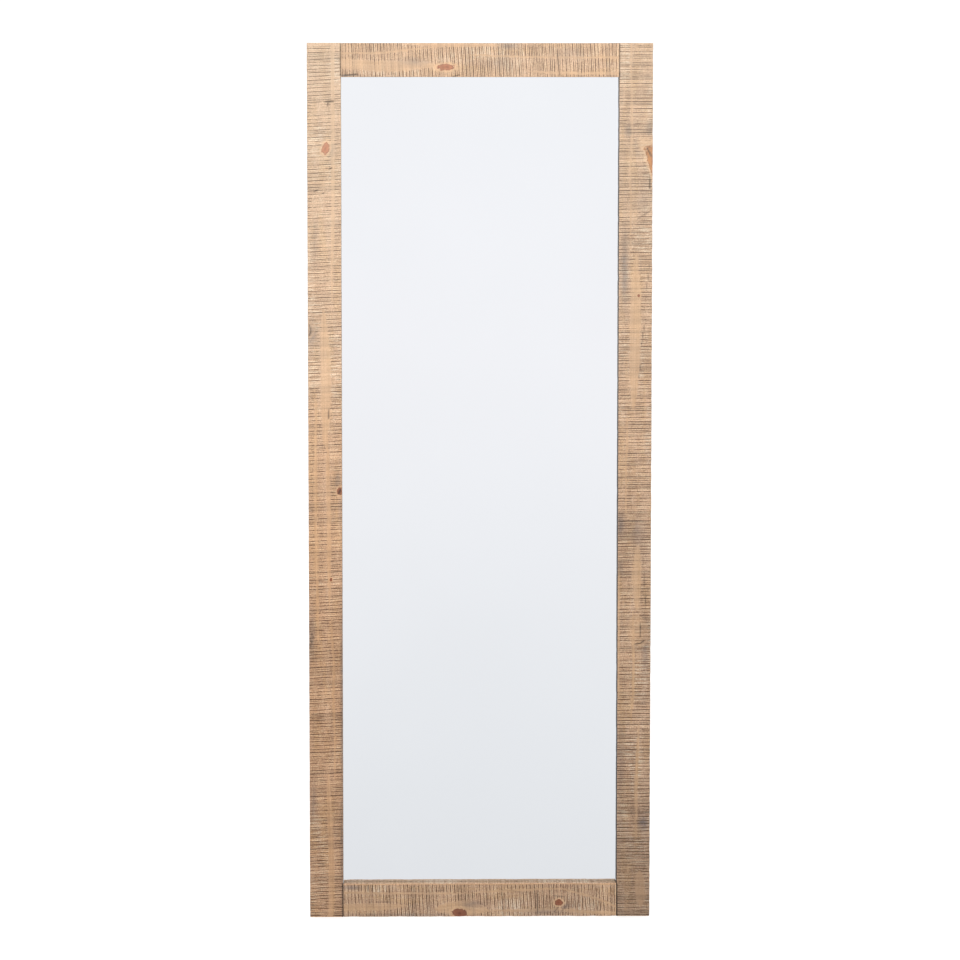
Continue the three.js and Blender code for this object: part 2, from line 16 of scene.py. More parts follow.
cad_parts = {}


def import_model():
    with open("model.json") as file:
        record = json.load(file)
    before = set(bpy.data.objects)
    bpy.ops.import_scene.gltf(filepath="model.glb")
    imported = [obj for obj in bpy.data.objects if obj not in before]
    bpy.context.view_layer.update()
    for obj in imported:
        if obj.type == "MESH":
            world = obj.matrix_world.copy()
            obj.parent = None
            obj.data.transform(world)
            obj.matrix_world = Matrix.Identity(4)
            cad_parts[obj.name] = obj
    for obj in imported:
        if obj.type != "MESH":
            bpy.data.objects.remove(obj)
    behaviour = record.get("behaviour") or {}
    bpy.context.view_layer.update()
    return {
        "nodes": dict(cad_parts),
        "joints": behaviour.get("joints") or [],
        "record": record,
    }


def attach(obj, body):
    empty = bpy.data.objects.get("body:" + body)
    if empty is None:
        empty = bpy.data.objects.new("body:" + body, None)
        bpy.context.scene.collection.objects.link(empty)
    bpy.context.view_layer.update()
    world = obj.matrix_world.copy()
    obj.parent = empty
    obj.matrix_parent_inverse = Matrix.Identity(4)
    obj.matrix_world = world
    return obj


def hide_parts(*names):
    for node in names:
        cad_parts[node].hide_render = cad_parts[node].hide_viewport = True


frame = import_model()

MM = 0.001
GAP = 0.3 * MM  # between pieces that touch

# ---- where things are ----


class Place:
    """Axes turned about X, with an origin of their own."""

    def __init__(self, origin, angle):
        c, s = math.cos(angle), math.sin(angle)
        self.origin = np.array(origin, float)
        self.angle = angle
        self.turn = np.array([[1, 0, 0], [0, c, -s], [0, s, c]])

    def to_world(self, points):
        return np.asarray(points) @ self.turn.T + self.origin

    def to_local(self, points):
        return (np.asarray(points) - self.origin) @ self.turn

    def reach(self, node):
        """Lowest and highest corner of a CAD node along these axes."""
        local = self.to_local(corners_of(node))
        return local.min(0), local.max(0)


def corners_of(node):
    mesh = frame["nodes"][node].data
    places = np.empty(len(mesh.vertices) * 3, np.float32)
    mesh.vertices.foreach_get("co", places)
    return places.reshape(-1, 3).astype(float)


def panel_place():
    """Axes of the leaning mirror, from the front bottom edge of its frame."""
    glass = corners_of("mirror_glass")
    glass = glass[glass[:, 2].argsort()]
    half = len(glass) // 2
    rise = glass[half:].mean(0) - glass[:half].mean(0)
    turned = Place((0, 0, 0), -math.atan2(rise[1], rise[2]))
    low = turned.to_local(corners_of("left_stile")).min(0)
    return Place(turned.to_world([0, low[1], low[2]]), turned.angle)


def stand_place():
    """Axes of the open stand, from its hinge pins. Folded, it lies along the mirror."""
    fold = next(joint for joint in frame["joints"] if joint["name"] == "stand_fold")
    return Place(fold["pos_m"], PANEL.angle - math.radians(fold["range_deg"][0]))


def add_object(name, data):
    made = bpy.data.objects.new(name, data)
    bpy.context.scene.collection.objects.link(made)
    return made


def finish_piece(made, body, slot, *nodes):
    """Tells which body a piece rides on and which CAD nodes it replaces. slot, what it is made of, is not
    used.
    """
    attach(made, body)
    if nodes:
        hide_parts(*nodes)


PANEL = panel_place()
STAND = stand_place()
PLACE_OF = {"mirror_frame": PANEL, "stand": STAND}

# ---- smooth random numbers ----


def smooth(t):
    t = np.clip(t, 0, 1)
    return t * t * (3 - 2 * t)


def noise(seed, u, v=0.0):
    """Value noise from 0 to 1 that changes once per unit of u and of v."""
    table = np.random.default_rng(seed).random((64, 64))
    u, v = np.broadcast_arrays(np.asarray(u, float), np.asarray(v, float))
    i, j = np.floor(u).astype(int), np.floor(v).astype(int)
    s, t = smooth(u - i), smooth(v - j)
    low = table[i % 64, j % 64] * (1 - s) + table[(i + 1) % 64, j % 64] * s
    high = table[i % 64, (j + 1) % 64] * (1 - s) + table[(i + 1) % 64, (j + 1) % 64] * s
    return low * (1 - t) + high * t


def rough_noise(seed, u, v=0.0):
    """Three octaves of it, still from 0 to 1."""
    return (
        4 * noise(seed, u, v)
        + 2 * noise(seed + 1, 2.1 * np.asarray(u), 2.1 * np.asarray(v))
        + noise(seed + 2, 4.3 * np.asarray(u), 4.3 * np.asarray(v))
    ) / 7


# ---- marks in a board; places are millimetres along it and across it ----


class Spot:
    def __init__(self, along, across, length, width):
        self.along, self.across = along * MM, across * MM
        self.length, self.width = length * MM, width * MM


class Knot(Spot):
    """hue goes from 0, dark brown, over 0.5, red brown, to 1, orange. A grown over knot has only its
    halo and the grain that bends round it.
    """

    def __init__(self, along, across, length, width, turn=0.0, hue=0.5, grown_over=False):
        super().__init__(along, across, length, width)
        self.turn, self.hue = math.radians(turn), hue
        self.most = -0.45 if grown_over else 1.0

    def distance(self, a, b):
        """0 at the middle of the knot and 1 on its rim."""
        c, s = math.cos(self.turn), math.sin(self.turn)
        u, v = a - self.along, b - self.across
        return np.hypot((u * c + v * s) / self.length, (v * c - u * s) / self.width) * 2


class Wedge(Knot):
    """A torn knot on the board's outer edge, broad at its upper end and pointed at the lower one."""

    def distance(self, a, b):
        t = (self.along + self.length / 2 - a) / self.length
        reach = self.width * (1 - 0.8 * np.clip(t, 0, 1))
        return np.maximum(np.abs(2 * t - 1), np.abs(b) / reach)


class Band:
    """A smooth strip along the grain, from near to far across the board, blunt or pointed at each end."""

    TAPER = 3.2

    def __init__(self, start, end, near, far, width, bow=0.0, blunt_start=0.0, blunt_end=0.0):
        self.start, self.end = start * MM, end * MM
        self.near, self.far = near * MM, far * MM
        self.width, self.bow = width * MM, bow * MM
        self.blunt = blunt_start, blunt_end

    def strength(self, a, b, wander):
        t = (a - self.start) / (self.end - self.start)
        middle = self.near + (self.far - self.near) * t + self.bow * np.sin(math.pi * t) + wander
        taper = np.minimum(self.blunt[0] + t * self.TAPER, self.blunt[1] + (1 - t) * self.TAPER)
        half = self.width / 2 * np.sqrt(np.clip(taper, 0, 1)) + 1e-6
        inside = (t > 0) & (t < 1)
        return np.where(inside, np.clip(1 - np.abs(b - middle) / half, 0, 1), 0)


class StainAndShade(Spot):
    """Grey marks that fade outward: stains, and slim lines of painted shade along the lip."""

    def __init__(self, along, across, length, width, strength=0.6):
        super().__init__(along, across, length, width)
        self.strength = strength

    def darkness(self, a, b):
        u, v = (a - self.along) / self.length, (b - self.across) / self.width
        return self.strength * np.exp(-4 * (u * u + v * v))


class Crack:
    """A dark split from one point to another, widest at its middle."""

    def __init__(self, a0, b0, a1, b1, width=1.5, strength=1.0):
        self.ends = np.array([[a0, b0], [a1, b1]]) * MM
        self.width, self.strength = width * MM, strength
        self.middle = (a0 + a1) / 2 * MM
        self.lies_across = abs(a1 - a0) < abs(b1 - b0)

    def darkness(self, a, b):
        (a0, b0), (a1, b1) = self.ends
        span = math.hypot(a1 - a0, b1 - b0)
        t = np.clip(((a - a0) * (a1 - a0) + (b - b0) * (b1 - b0)) / span**2, 0, 1)
        away = np.hypot(a - a0 - t * (a1 - a0), b - b0 - t * (b1 - b0))
        half = self.width * (0.45 + 0.55 * np.sin(math.pi * t))
        return self.strength * np.clip(1.25 - away / half, 0, 1)


# Along: from the bottom of a stile or the left of a rail. Across: from the frame's outer edge.
LEFT_STILE = [
    Knot(1589, 38, 25, 16, 12, 0.55),
    Knot(1222, 4, 24, 16, 0, grown_over=True),
    Knot(887, 65, 17, 13, 0, 0.13),
    Knot(704, 46, 7, 6, 0, 0.1),
    Band(1270, 1803, 50, 52, 9, 2, blunt_end=1),
    Band(980, 1262, 34, 33, 26, 3),
    Band(560, 1120, 20, 15, 7, -2),
    Band(640, 1010, 42, 38, 11, 2),
    Band(0, 300, 42, 40, 14, 3, blunt_start=1),
    Band(280, 640, 52, 46, 6, 3),
    StainAndShade(1585, 50, 30, 12, 0.35),
    StainAndShade(1215, 8, 46, 22, 0.8),
    StainAndShade(1400, 14, 90, 12, 0.3),
    StainAndShade(908, 60, 34, 12, 0.6),
    StainAndShade(850, 67, 60, 7, 0.5),
    StainAndShade(430, 68, 520, 6, 0.75),
    StainAndShade(150, 67, 260, 6, 0.7),
    StainAndShade(590, 5, 110, 16, 0.5),
    StainAndShade(250, 8, 90, 14, 0.45),
    # Painted shade: a slim dark line along the lip beside the glass.
    StainAndShade(600, 69.5, 1400, 1.4, 0.5),
    Crack(1684, 35, 1684, 57, 1.9),
    Crack(1684, 3, 1684, 30, 1.1, 0.6),
    Crack(1673, 43, 1684, 43, 1.9),
    Crack(1207, 2, 1218, 7, 2.6, 0.8),
    Crack(1218, 7, 1232, 3, 2.0, 0.7),
    Crack(1547, 45, 1549, 51, 1.6),
    Crack(1503, 14, 1506, 22, 1.6),
    Crack(1497, 31, 1500, 34, 1.6),
    Crack(1036, 42, 1060, 43, 1.3, 0.8),
    Crack(562, 2, 596, 11, 1.2, 0.7),
    Crack(571, 1, 602, 8, 1.2, 0.6),
    Crack(881, 62, 893, 67, 2.2),
]
RIGHT_STILE = [
    Wedge(1565, 0, 60, 19, 0, 1.0),
    Knot(596, 27, 44, 30, 12, grown_over=True),
    Knot(1289, 28, 7, 6, 0, 0.15),
    Band(1055, 1372, 37, 34, 27, 0, blunt_end=0.05),
    Band(1366, 1803, 47, 44, 5, -2, blunt_end=1),
    Band(640, 775, 29, 27, 21, 2, blunt_end=0.1),
    Band(400, 640, 40, 38, 6, -3),
    Band(430, 750, 67, 67, 7),
    Band(20, 96, 18, 22, 26, 0),
    Band(840, 1040, 52, 50, 5, 2),
    Band(150, 420, 28, 22, 8, 4),
    StainAndShade(1624, 50, 26, 14, 0.6),
    StainAndShade(1628, 7, 30, 12, 0.6),
    StainAndShade(1345, 57, 150, 15, 0.75),
    StainAndShade(819, 64, 42, 16, 0.8),
    StainAndShade(800, 30, 60, 30, 0.45),
    StainAndShade(730, 66, 30, 14, 0.6),
    StainAndShade(196, 14, 34, 22, 0.75),
    StainAndShade(560, 12, 130, 16, 0.45),
    StainAndShade(1470, 20, 60, 24, 0.3),
    StainAndShade(330, 60, 160, 14, 0.4),
    # Painted shade: a slim dark line along the lip beside the glass.
    StainAndShade(900, 69.5, 3000, 1.6, 0.9),
    Crack(1637, 2, 1637, 67, 1.1, 0.7),
    Crack(1590, 12, 1573, 3, 2.0),
    Crack(1507, 6, 1538, 5, 1.8, 0.9),
    Crack(1446, 30, 1463, 3, 1.3, 0.7),
    Crack(1300, 12, 1352, 6, 1.2, 0.55),
    Crack(1188, 22, 1240, 14, 1.2, 0.7),
    Crack(1120, 27, 1160, 22, 1.1, 0.6),
    Crack(825, 4, 826, 67, 1.2, 0.8),
    Crack(585, 22, 618, 21, 1.2, 0.7),
    Crack(602, 20, 605, 22, 2.2),
    Crack(577, 14, 571, 22, 1.5, 0.9),
    Crack(571, 22, 570, 34, 1.4, 0.8),
    Crack(690, 14, 752, 16, 1.2, 0.6),
    Crack(640, 10, 690, 13, 1.2, 0.6),
]
TOP_RAIL = [
    Knot(213, 49, 36, 14, 0, 0.38),
    Knot(186, 48, 15, 10, 20, grown_over=True),
    Band(0, 190, 43, 46, 26, 2, blunt_start=1),
    Band(0, 210, 22, 8, 5, 2, blunt_start=1),
    Band(130, 330, 2, 5, 12, 0),
    Band(250, 566, 24, 28, 5, 3, blunt_end=1),
    Band(380, 566, 58, 60, 7, 2, blunt_end=1),
    StainAndShade(150, 38, 60, 18, 0.5),
    StainAndShade(318, 42, 60, 26, 0.35),
    StainAndShade(345, 6, 30, 12, 0.6),
    StainAndShade(470, 20, 60, 30, 0.3),
    StainAndShade(12, 66, 46, 5, 0.9),
    Crack(4, 66, 34, 63, 1.4),
    Crack(226, 68, 240, 65, 1.6),
    Crack(441, 20, 443, 66, 1.1, 0.7),
]
BOTTOM_RAIL = [
    Knot(240, 7, 32, 20, 0, 0.1),
    Knot(447, 29, 17, 13, 10, 0.12),
    StainAndShade(458, 22, 26, 12, 0.6),
    Crack(436, 44, 460, 41, 1.2, 0.6),
    Crack(405, 48, 330, 56, 1.2, 0.35),
    Band(0, 285, 52, 50, 6, -3, blunt_start=1),
    Band(270, 470, 50, 57, 6, 2),
    Band(455, 566, 56, 22, 6, 4, blunt_end=1),
    Band(-40, 132, 20, 22, 19, 0, blunt_start=1),
    Band(190, 300, 14, 12, 34, 6),
    Band(300, 566, 12, 8, 8, 2, blunt_end=1),
    Band(-20, 590, 68.5, 68.5, 3.5, blunt_start=1, blunt_end=1),
    StainAndShade(20, 62, 40, 9, 0.6),
    StainAndShade(270, 26, 46, 14, 0.5),
    StainAndShade(120, 4, 260, 6, 0.45),
    StainAndShade(420, 10, 90, 14, 0.4),
    Crack(402, 3, 403, 56, 1.2, 0.85),
    Crack(430, 2, 446, 20, 1.2, 0.6),
    Crack(444, 2, 462, 22, 1.2, 0.6),
    Crack(196, 54, 212, 57, 1.3, 0.6),
    Crack(66, 32, 104, 31, 1.2, 0.5),
]


class Member:
    """One member of the frame. tilt leans its saw marks, bite is their strength, joints the darkness of
    the line at each end, and tones and warmth are pairs of a height and an amount. Its painted light is
    set too: a highlight, with some paler worn wood, on the edge beside the glass, light on the lip, grey
    and dark shade on the lip beside the glass, and a haze up the board.
    """

    arris_highlight, lit_lip, lip_grey_shade_start, joints = 0.1, 0.0, 0.2, (0.85, 0.45)

    def __init__(self, **values):
        self.__dict__.update(values)


MEMBERS = {
    "left_stile": Member(
        marks=LEFT_STILE, seed=101, tilt=0.05, painted_haze=0.95, bite=1.0, lip_grey_shade=0.8, lip_shade=0.3,
        tones=[(0.0, 0.84), (0.3, 0.91), (0.5, 0.96), (0.7, 1.05), (0.95, 1.09), (1.15, 1.15),
               (1.33, 1.12), (1.8, 0.885)],
        warmth=[(0.0, 0.9), (0.6, 1.1), (0.95, 1.0), (1.1, 0.3), (1.8, 0.2)]),
    "right_stile": Member(
        marks=RIGHT_STILE, seed=202, tilt=-0.018, painted_haze=0.72, bite=1.18, lip_grey_shade=1.3,
        lip_grey_shade_start=-0.35, lip_shade=0.55,
        tones=[(0.0, 0.59), (0.3, 0.83), (0.5, 0.98), (0.7, 0.93), (1.33, 1.0), (1.55, 0.9), (1.8, 0.81)],
        warmth=[(0.0, 0.2), (0.7, 0.0), (0.95, 0.4), (1.5, 0.2), (1.8, 0.4)]),
    "top_rail": Member(
        marks=TOP_RAIL, seed=303, tilt=0.06, painted_haze=0.55, bite=1.2, lip_grey_shade=0.9, lip_shade=0.3,
        joints=(0.5, 0.5), height=1.803, tones=[(0.0, 0.905)], warmth=[(0.0, 0.6)]),
    "bottom_rail": Member(
        marks=BOTTOM_RAIL, seed=404, tilt=-0.06, painted_haze=0.0, bite=1.08, lip_grey_shade=0.05, lip_shade=0.0,
        arris_highlight=0.35, lit_lip=0.6, joints=(0.85, 0.85), height=0.0, tones=[(0.0, 0.87)],
        warmth=[(0.0, 0.0)]),
}

# ---- boards ----


class Ring:
    """The outline of a board's section: points across and into it, outward normals and faces."""

    def __init__(self, corners, steps, radius):
        corners = np.array(corners, float)
        count = len(corners)
        points, normals, faces = [], [], []
        for k in range(count):
            before, here, after = corners[k - 1], corners[k], corners[(k + 1) % count]
            beyond = corners[(k + 2) % count]
            along = (after - here) / np.linalg.norm(after - here)
            normal = np.array([along[1], -along[0]])
            round_here = radius if self.turns_left(before, here, after) else 0
            round_next = radius if self.turns_left(here, after, beyond) else 0
            first, last = here + along * round_here, after - along * round_next
            for t in np.linspace(0, 1, steps[k] + 1):
                points.append(first + (last - first) * t)
                normals.append(normal)
                faces.append(k)
            if round_next:
                ahead = (beyond - after) / np.linalg.norm(beyond - after)
                inward = (ahead - along) / math.sqrt(2)
                points.append(after + inward * radius * (math.sqrt(2) - 1))
                normals.append(-inward)
                faces.append(k)
        self.points, self.normals = np.array(points), np.array(normals)
        self.faces = np.array(faces)

    @staticmethod
    def turns_left(before, here, after):
        u, v = here - before, after - here
        return u[0] * v[1] - u[1] * v[0] > 0


def mesh_object(name, vertices, faces, material, sharp=50):
    mesh = bpy.data.meshes.new(name)
    mesh.from_pydata(np.asarray(vertices).tolist(), [], faces)
    mesh.validate()
    mesh.shade_smooth()
    mesh.set_sharp_from_angle(angle=math.radians(sharp))
    mesh.materials.append(material)
    return add_object(name, mesh)


def rows_by_points(rows, ring):
    """The distances along, across and into a board at each row and each point of its section."""
    shape = (len(rows), len(ring.points))
    along = np.repeat(rows[:, None], len(ring.points), axis=1)
    return along, *(np.broadcast_to(ring.points[:, k], shape).copy() for k in (0, 1))


def swept(name, place, corner, axes, a, b, d, material):
    """A closed board through rows of section points. axes are its along, across and depth directions."""
    rows, around = a.shape
    along, across, depth = (np.array(axis, float) for axis in axes)
    local = corner + a[..., None] * along + b[..., None] * across + d[..., None] * depth
    index = np.arange(rows * around).reshape(rows, around)
    right = np.roll(index, -1, axis=1)
    quads = np.stack([index[:-1], right[:-1], right[1:], index[1:]], axis=-1).reshape(-1, 4)
    ends = [index[0][::-1].tolist(), index[-1].tolist()]
    if np.dot(np.cross(across, depth), along) < 0:
        quads = quads[:, ::-1]
        ends = [end[::-1] for end in ends]
    return mesh_object(name, place.to_world(local.reshape(-1, 3)), quads.tolist() + ends, material)


def set_vector(made, name, *columns):
    values = np.stack([c.ravel() for c in np.broadcast_arrays(*columns)], axis=1)
    layer = made.data.attributes.new(name, "FLOAT_VECTOR", "POINT")
    layer.data.foreach_set("vector", values.astype(np.float32).ravel())


SAW_PITCH = 7.4 * MM  # from one strong mark to the next
END_ROWS = np.array([0.0, 0.5, 1.2]) * MM
FIRST_MARK, LAST_MARK = 3.2 * MM, 3.6 * MM  # from the board's ends


def saw_rows(rng, length, fixed):
    """Places of the rows along a rough-sawn board, and how strong the saw mark at each one is.

    fixed holds places that get a saw mark of their own, so that a split across the board lies in one.
    """
    places, depths = [*END_ROWS], [0.0] * len(END_ROWS)
    a, strong = FIRST_MARK, True
    while a < length - LAST_MARK:
        a = next((f for f in fixed if abs(f - a) < 0.32 * SAW_PITCH), a)
        depth = rng.uniform(0.6, 1.0) if strong else rng.uniform(0.15, 0.6)
        half = (0.55 + 0.55 * depth) * MM
        if strong:
            places += [a - half, a - 0.35 * half, a + 0.35 * half, a + half]
            depths += [0.0, depth, depth, 0.0]
        else:
            places += [a - half, a, a + half]
            depths += [0.0, depth, 0.0]
        a += SAW_PITCH * rng.uniform(0.38, 0.62)
        strong = not strong
    places += [length - end for end in END_ROWS[::-1]]
    return np.array(places), np.array(depths + [0.0] * len(END_ROWS))


LIP_FACE, REBATE_FLOOR, REBATE_WALL, BACK_FACE, OUTER_FACE = 1, 2, 3, 4, 5
ROUGHNESS_OF_FACE = np.array([1.0, 0.0, 0.1, 0.1, 0.45, 0.8])
BACK_SHIFT = 0.13  # the back's marks are those of a part of the noise that the face doesn't use
SLIM_BANDS = 3
SLIM_HALF = 2.2 * MM
JOINT_LINE_RAIL, JOINT_LINE_STILE = 0.9 * MM, 1.1 * MM
ARRIS_HIGHLIGHT_WIDTH = 1.4 * MM
WORN_ARRIS = 2.4 * MM
ROUND_END = 1.2 * MM
SLIVER = 0.05 * MM
TILT_RUN_IN = 0.03  # from each end, where the saw marks turn to their full tilt


class Board:
    """A rough-sawn member of the frame: a grid of rows along it by the points round its section.

    a runs along the board, b across its face from the outer edge and d into it from the face.
    """

    def __init__(self, node, length, width, thick, lip, rebate):
        self.node, self.member = node, MEMBERS[node]
        self.upright = node.endswith("stile")
        self.seed = self.member.seed
        self.length, self.width, self.thick = length, width, thick
        self.lip, self.rebate = lip, rebate
        self.inner = inner = width - rebate
        self.rng = np.random.default_rng(self.seed)
        section = [(0, 0), (width, 0), (width, lip), (inner, lip), (inner, thick), (0, thick)]
        self.ring = Ring(section, STILE_STEPS if self.upright else RAIL_STEPS, 1.0 * MM)
        splits = [crack.middle for crack in self.marks(Crack) if crack.lies_across]
        self.rows, self.saw = saw_rows(self.rng, length, splits)
        self.face = self.ring.faces
        if self.upright:
            self.end_rebate_rows()
        self.a, self.b, self.d = rows_by_points(self.rows, self.ring)
        if self.upright:
            self.stop_rebate()

    def marks(self, kind):
        return [mark for mark in self.member.marks if isinstance(mark, kind)]

    def end_rebate_rows(self):
        """Adds a close pair of rows at each end of the rebate."""
        inner, length = self.inner, self.length
        ends = np.array([inner - SLIVER, inner, length - inner, length - inner + SLIVER])
        rows = np.concatenate([self.rows, ends])
        order = rows.argsort(kind="stable")
        self.rows, self.saw = rows[order], np.concatenate([self.saw, np.zeros(len(ends))])[order]

    def stop_rebate(self):
        """Fills the rebate beyond its ends, so that the board's own ends are full."""
        inner, length = self.inner, self.length
        full = (self.rows < inner - SLIVER / 2) | (self.rows > length - inner + SLIVER / 2)
        inner_faces = (REBATE_FLOOR, REBATE_WALL, BACK_FACE)
        floor, wall, back = (full[:, None] & (self.face == k) for k in inner_faces)
        middle = (self.thick - self.lip) / 2
        self.d = np.where(floor, self.lip + (self.width - self.b) / self.rebate * middle, self.d)
        self.d = np.where(wall, self.lip + middle + (self.d - self.lip) / 2, self.d)
        self.b = np.where(floor | wall, self.width, self.b)
        self.b = np.where(back, self.b * self.width / inner, self.b)

    def measure(self):
        """Marks at every point: groove, band, crack, knot, stains, painted light and shade, each about 0
        to 1.
        """
        on_lip, on_outer = self.face == LIP_FACE, self.face == OUTER_FACE
        self.across = self.b + (np.where(on_outer, -self.d, 0) + np.where(on_lip, self.d, 0))
        self.across = self.across + np.where(self.face == BACK_FACE, BACK_SHIFT, 0)
        self.rough = np.broadcast_to(ROUGHNESS_OF_FACE[self.face], self.a.shape)
        self.measure_bands()
        self.measure_knots()
        self.measure_grooves()
        self.measure_flaws()
        self.measure_tone_and_painted_light()
        self.mark_joints()

    def measure_bands(self):
        """The smooth bands in the marks, and a few slim ones that come and go."""
        a, across, seed = self.a, self.across, self.seed
        wander = (rough_noise(seed, a / 0.09) - 0.5) * 5 * MM
        wander = wander + (noise(seed + 1, a / 0.004) - 0.5) * 1.5 * MM
        band = np.zeros_like(a)
        for mark in self.marks(Band):
            band = np.maximum(band, mark.strength(a, across, wander))
        for k in range(SLIM_BANDS):
            centre = self.rng.uniform(0.1, 0.9) * self.width
            centre = centre + (rough_noise(seed + 20 + k, a / 0.16) - 0.5) * 9 * MM
            fade = smooth((noise(seed + 40 + k, a / 0.11) - 0.45) * 6)
            slim = np.clip(1 - np.abs(across - centre) / SLIM_HALF, 0, 1)
            band = np.maximum(band, 0.16 * fade * slim)
        self.band = band

    def measure_knots(self):
        """How deep each point is in a knot, the knot's hue, and the grain that bends round it."""
        a, across, seed = self.a, self.across, self.seed
        pale = noise(seed + 21, a / 0.07, across / 0.03)
        ragged = (rough_noise(seed + 7, a / 0.004, self.b / 0.004) - 0.5) * 0.5
        knot, bent = np.full_like(a, -1.0), across.copy()
        for mark in self.marks(Knot):
            r = mark.distance(a, across) + ragged
            pale = np.where(r < 1.25, mark.hue, pale)
            knot = np.maximum(knot, np.clip(1 - r, -1, mark.most))
            bent = mark.across + (bent - mark.across) * (1 - np.exp(-((r / 1.3) ** 2)))
        self.knot, self.bent, self.pale = knot, bent, pale

    def measure_grooves(self):
        """The saw marks: broken up along and across, faint in the bands and gone in the knots."""
        a, across, seed = self.a, self.across, self.seed
        patch = 0.45 + 0.7 * smooth((rough_noise(seed + 3, a / 0.03, across / 0.012) - 0.28) * 2.8)
        dash = 0.55 + 0.5 * smooth((rough_noise(seed + 5, a / 0.0052, across / 0.014) - 0.32) * 3.2)
        in_band = 1 - 0.8 * smooth(self.band * 3.4)
        clear = smooth(-self.knot * 1.6)
        saw = np.repeat(self.saw[:, None], a.shape[1], axis=1)
        self.groove = saw * patch * dash * in_band * clear * self.rough * self.member.bite

    def measure_flaws(self):
        """Cracks and stains, with painted grey and dark shade on the lip beside the glass."""
        a, across, member = self.a, self.across, self.member
        crack, stain_and_shade = np.zeros_like(a), np.zeros_like(a)
        for mark in self.marks(Crack):
            crack = np.maximum(crack, mark.darkness(a, across))
        for mark in self.marks(StainAndShade):
            stain_and_shade = np.maximum(stain_and_shade, mark.darkness(a, across))
        stain_and_shade = stain_and_shade * (0.5 + rough_noise(self.seed + 9, a / 0.009, across / 0.006))
        # Painted shade on the lip beside the glass, grey in with the stains and dark in with the cracks.
        into_lip = self.d / self.lip - member.lip_grey_shade_start
        shade_by_glass = smooth(into_lip / 0.8) * (self.face == LIP_FACE)
        self.stain_and_shade = np.maximum(stain_and_shade, shade_by_glass * member.lip_grey_shade)
        self.crack = np.maximum(crack * (self.rough > 0.3), shade_by_glass * member.lip_shade)

    def measure_tone_and_painted_light(self):
        """How dark and warm the wood is, mostly by its height above the floor, and the painted light on
        it.
        """
        a, member = self.a, self.member
        height = a if self.upright else member.height
        # Painted haze: the wood is made paler up the board in place of a haze of light on its upper part.
        self.painted_haze = smooth((height - 0.35) / 1.5) * member.painted_haze
        tone = np.interp(height, *zip(*member.tones))
        ridges = 0.26 * (noise(self.seed + 23, a / 0.0053) - 0.5) * self.rough
        # Painted highlight on the inner edge beside the glass, with some paler worn wood; warmer there
        # too.
        to_inner_arris = np.hypot(self.b - self.width, self.d)
        arris_highlight = np.exp(-((to_inner_arris / ARRIS_HIGHLIGHT_WIDTH) ** 2)) * member.arris_highlight
        # Painted light on the lip, lightest at its front and darker toward the glass as painted shade.
        planed = (self.face == LIP_FACE) * member.lit_lip * (1 - 0.6 * self.d / self.lip)
        self.tone = tone * (1 + ridges + arris_highlight + planed)
        self.warmth = np.interp(height, *zip(*member.warmth)) + 3 * arris_highlight

    def mark_joints(self):
        """Dark lines where a rail meets a stile."""
        a, length, width = self.a, self.length, self.width
        if self.upright:
            corner = (a < width) | (a > length - width)
            joint_line = corner & (self.b > width - JOINT_LINE_STILE)
        else:
            joint_line = np.minimum(a, length - a) < JOINT_LINE_RAIL
        first, second = self.member.joints
        darkness = np.where(a > length / 2, second, first)
        self.crack = np.maximum(self.crack, darkness * joint_line)

    def sink(self):
        """How far each point lies below the flat surface."""
        a, seed = self.a, self.seed
        rough = ROUGHNESS_OF_FACE[self.face]
        wear = rough_noise(seed + 11, a / 0.02, self.face * 3.7)
        to_arris = np.minimum(np.hypot(self.b, self.d), np.hypot(self.b - self.width, self.d))
        worn = np.clip(1 - to_arris / WORN_ARRIS, 0, 1) * smooth((wear - 0.42) * 3)
        end = np.minimum(a, self.length - a)
        return MM * (
            0.55 * self.groove
            + 0.20 * rough_noise(seed + 13, a / 0.05, self.across / 0.02)
            + 0.12 * rough * rough_noise(seed + 15, a / 0.0025, self.across / 0.004)
            + 0.9 * self.crack * (end > 1.3 * MM)
            + 0.25 * smooth(1 - np.abs(self.knot) * 4)
            + 1.1 * worn
            + 0.5 * (1 - np.sqrt(np.clip(end / ROUND_END, 0, 1)))
        )

    def build(self, corner, axes, material):
        self.measure()
        sink = self.sink()
        b = self.b - self.ring.normals[:, 0] * sink
        d = self.d - self.ring.normals[:, 1] * sink
        a = self.a
        window = smooth(a / TILT_RUN_IN) * smooth((self.length - a) / TILT_RUN_IN)
        tilt = self.member.tilt + (rough_noise(self.seed + 17, a / 0.3) - 0.5) * 0.02
        waver = 0.5 * MM * (noise(self.seed + 19, b / 0.02, a / 0.05) - 0.5)
        a = a + window * (tilt * (b - self.width / 2) + waver)
        made = swept(self.node + "_board", PANEL, corner, axes, a, b, d, material)
        set_vector(made, "grain", self.a + self.seed * APART, self.bent, self.d)
        set_vector(made, "marks", self.groove, self.band, self.crack)
        set_vector(made, "flaws", self.knot, self.stain_and_shade, self.pale)
        set_vector(made, "tone_and_painted_light", self.tone, self.painted_haze, self.warmth)
        finish_piece(made, "mirror_frame", "reclaimed_pine", self.node)


APART = 0.37  # between the stretches of grain that two boards are cut from
BUTT = 0.28 * MM  # how much longer than in the CAD the rails are at each end
STILE_STEPS, RAIL_STEPS = [26, 4, 1, 1, 2, 5], [44, 5, 1, 1, 3, 7]  # strips on each face


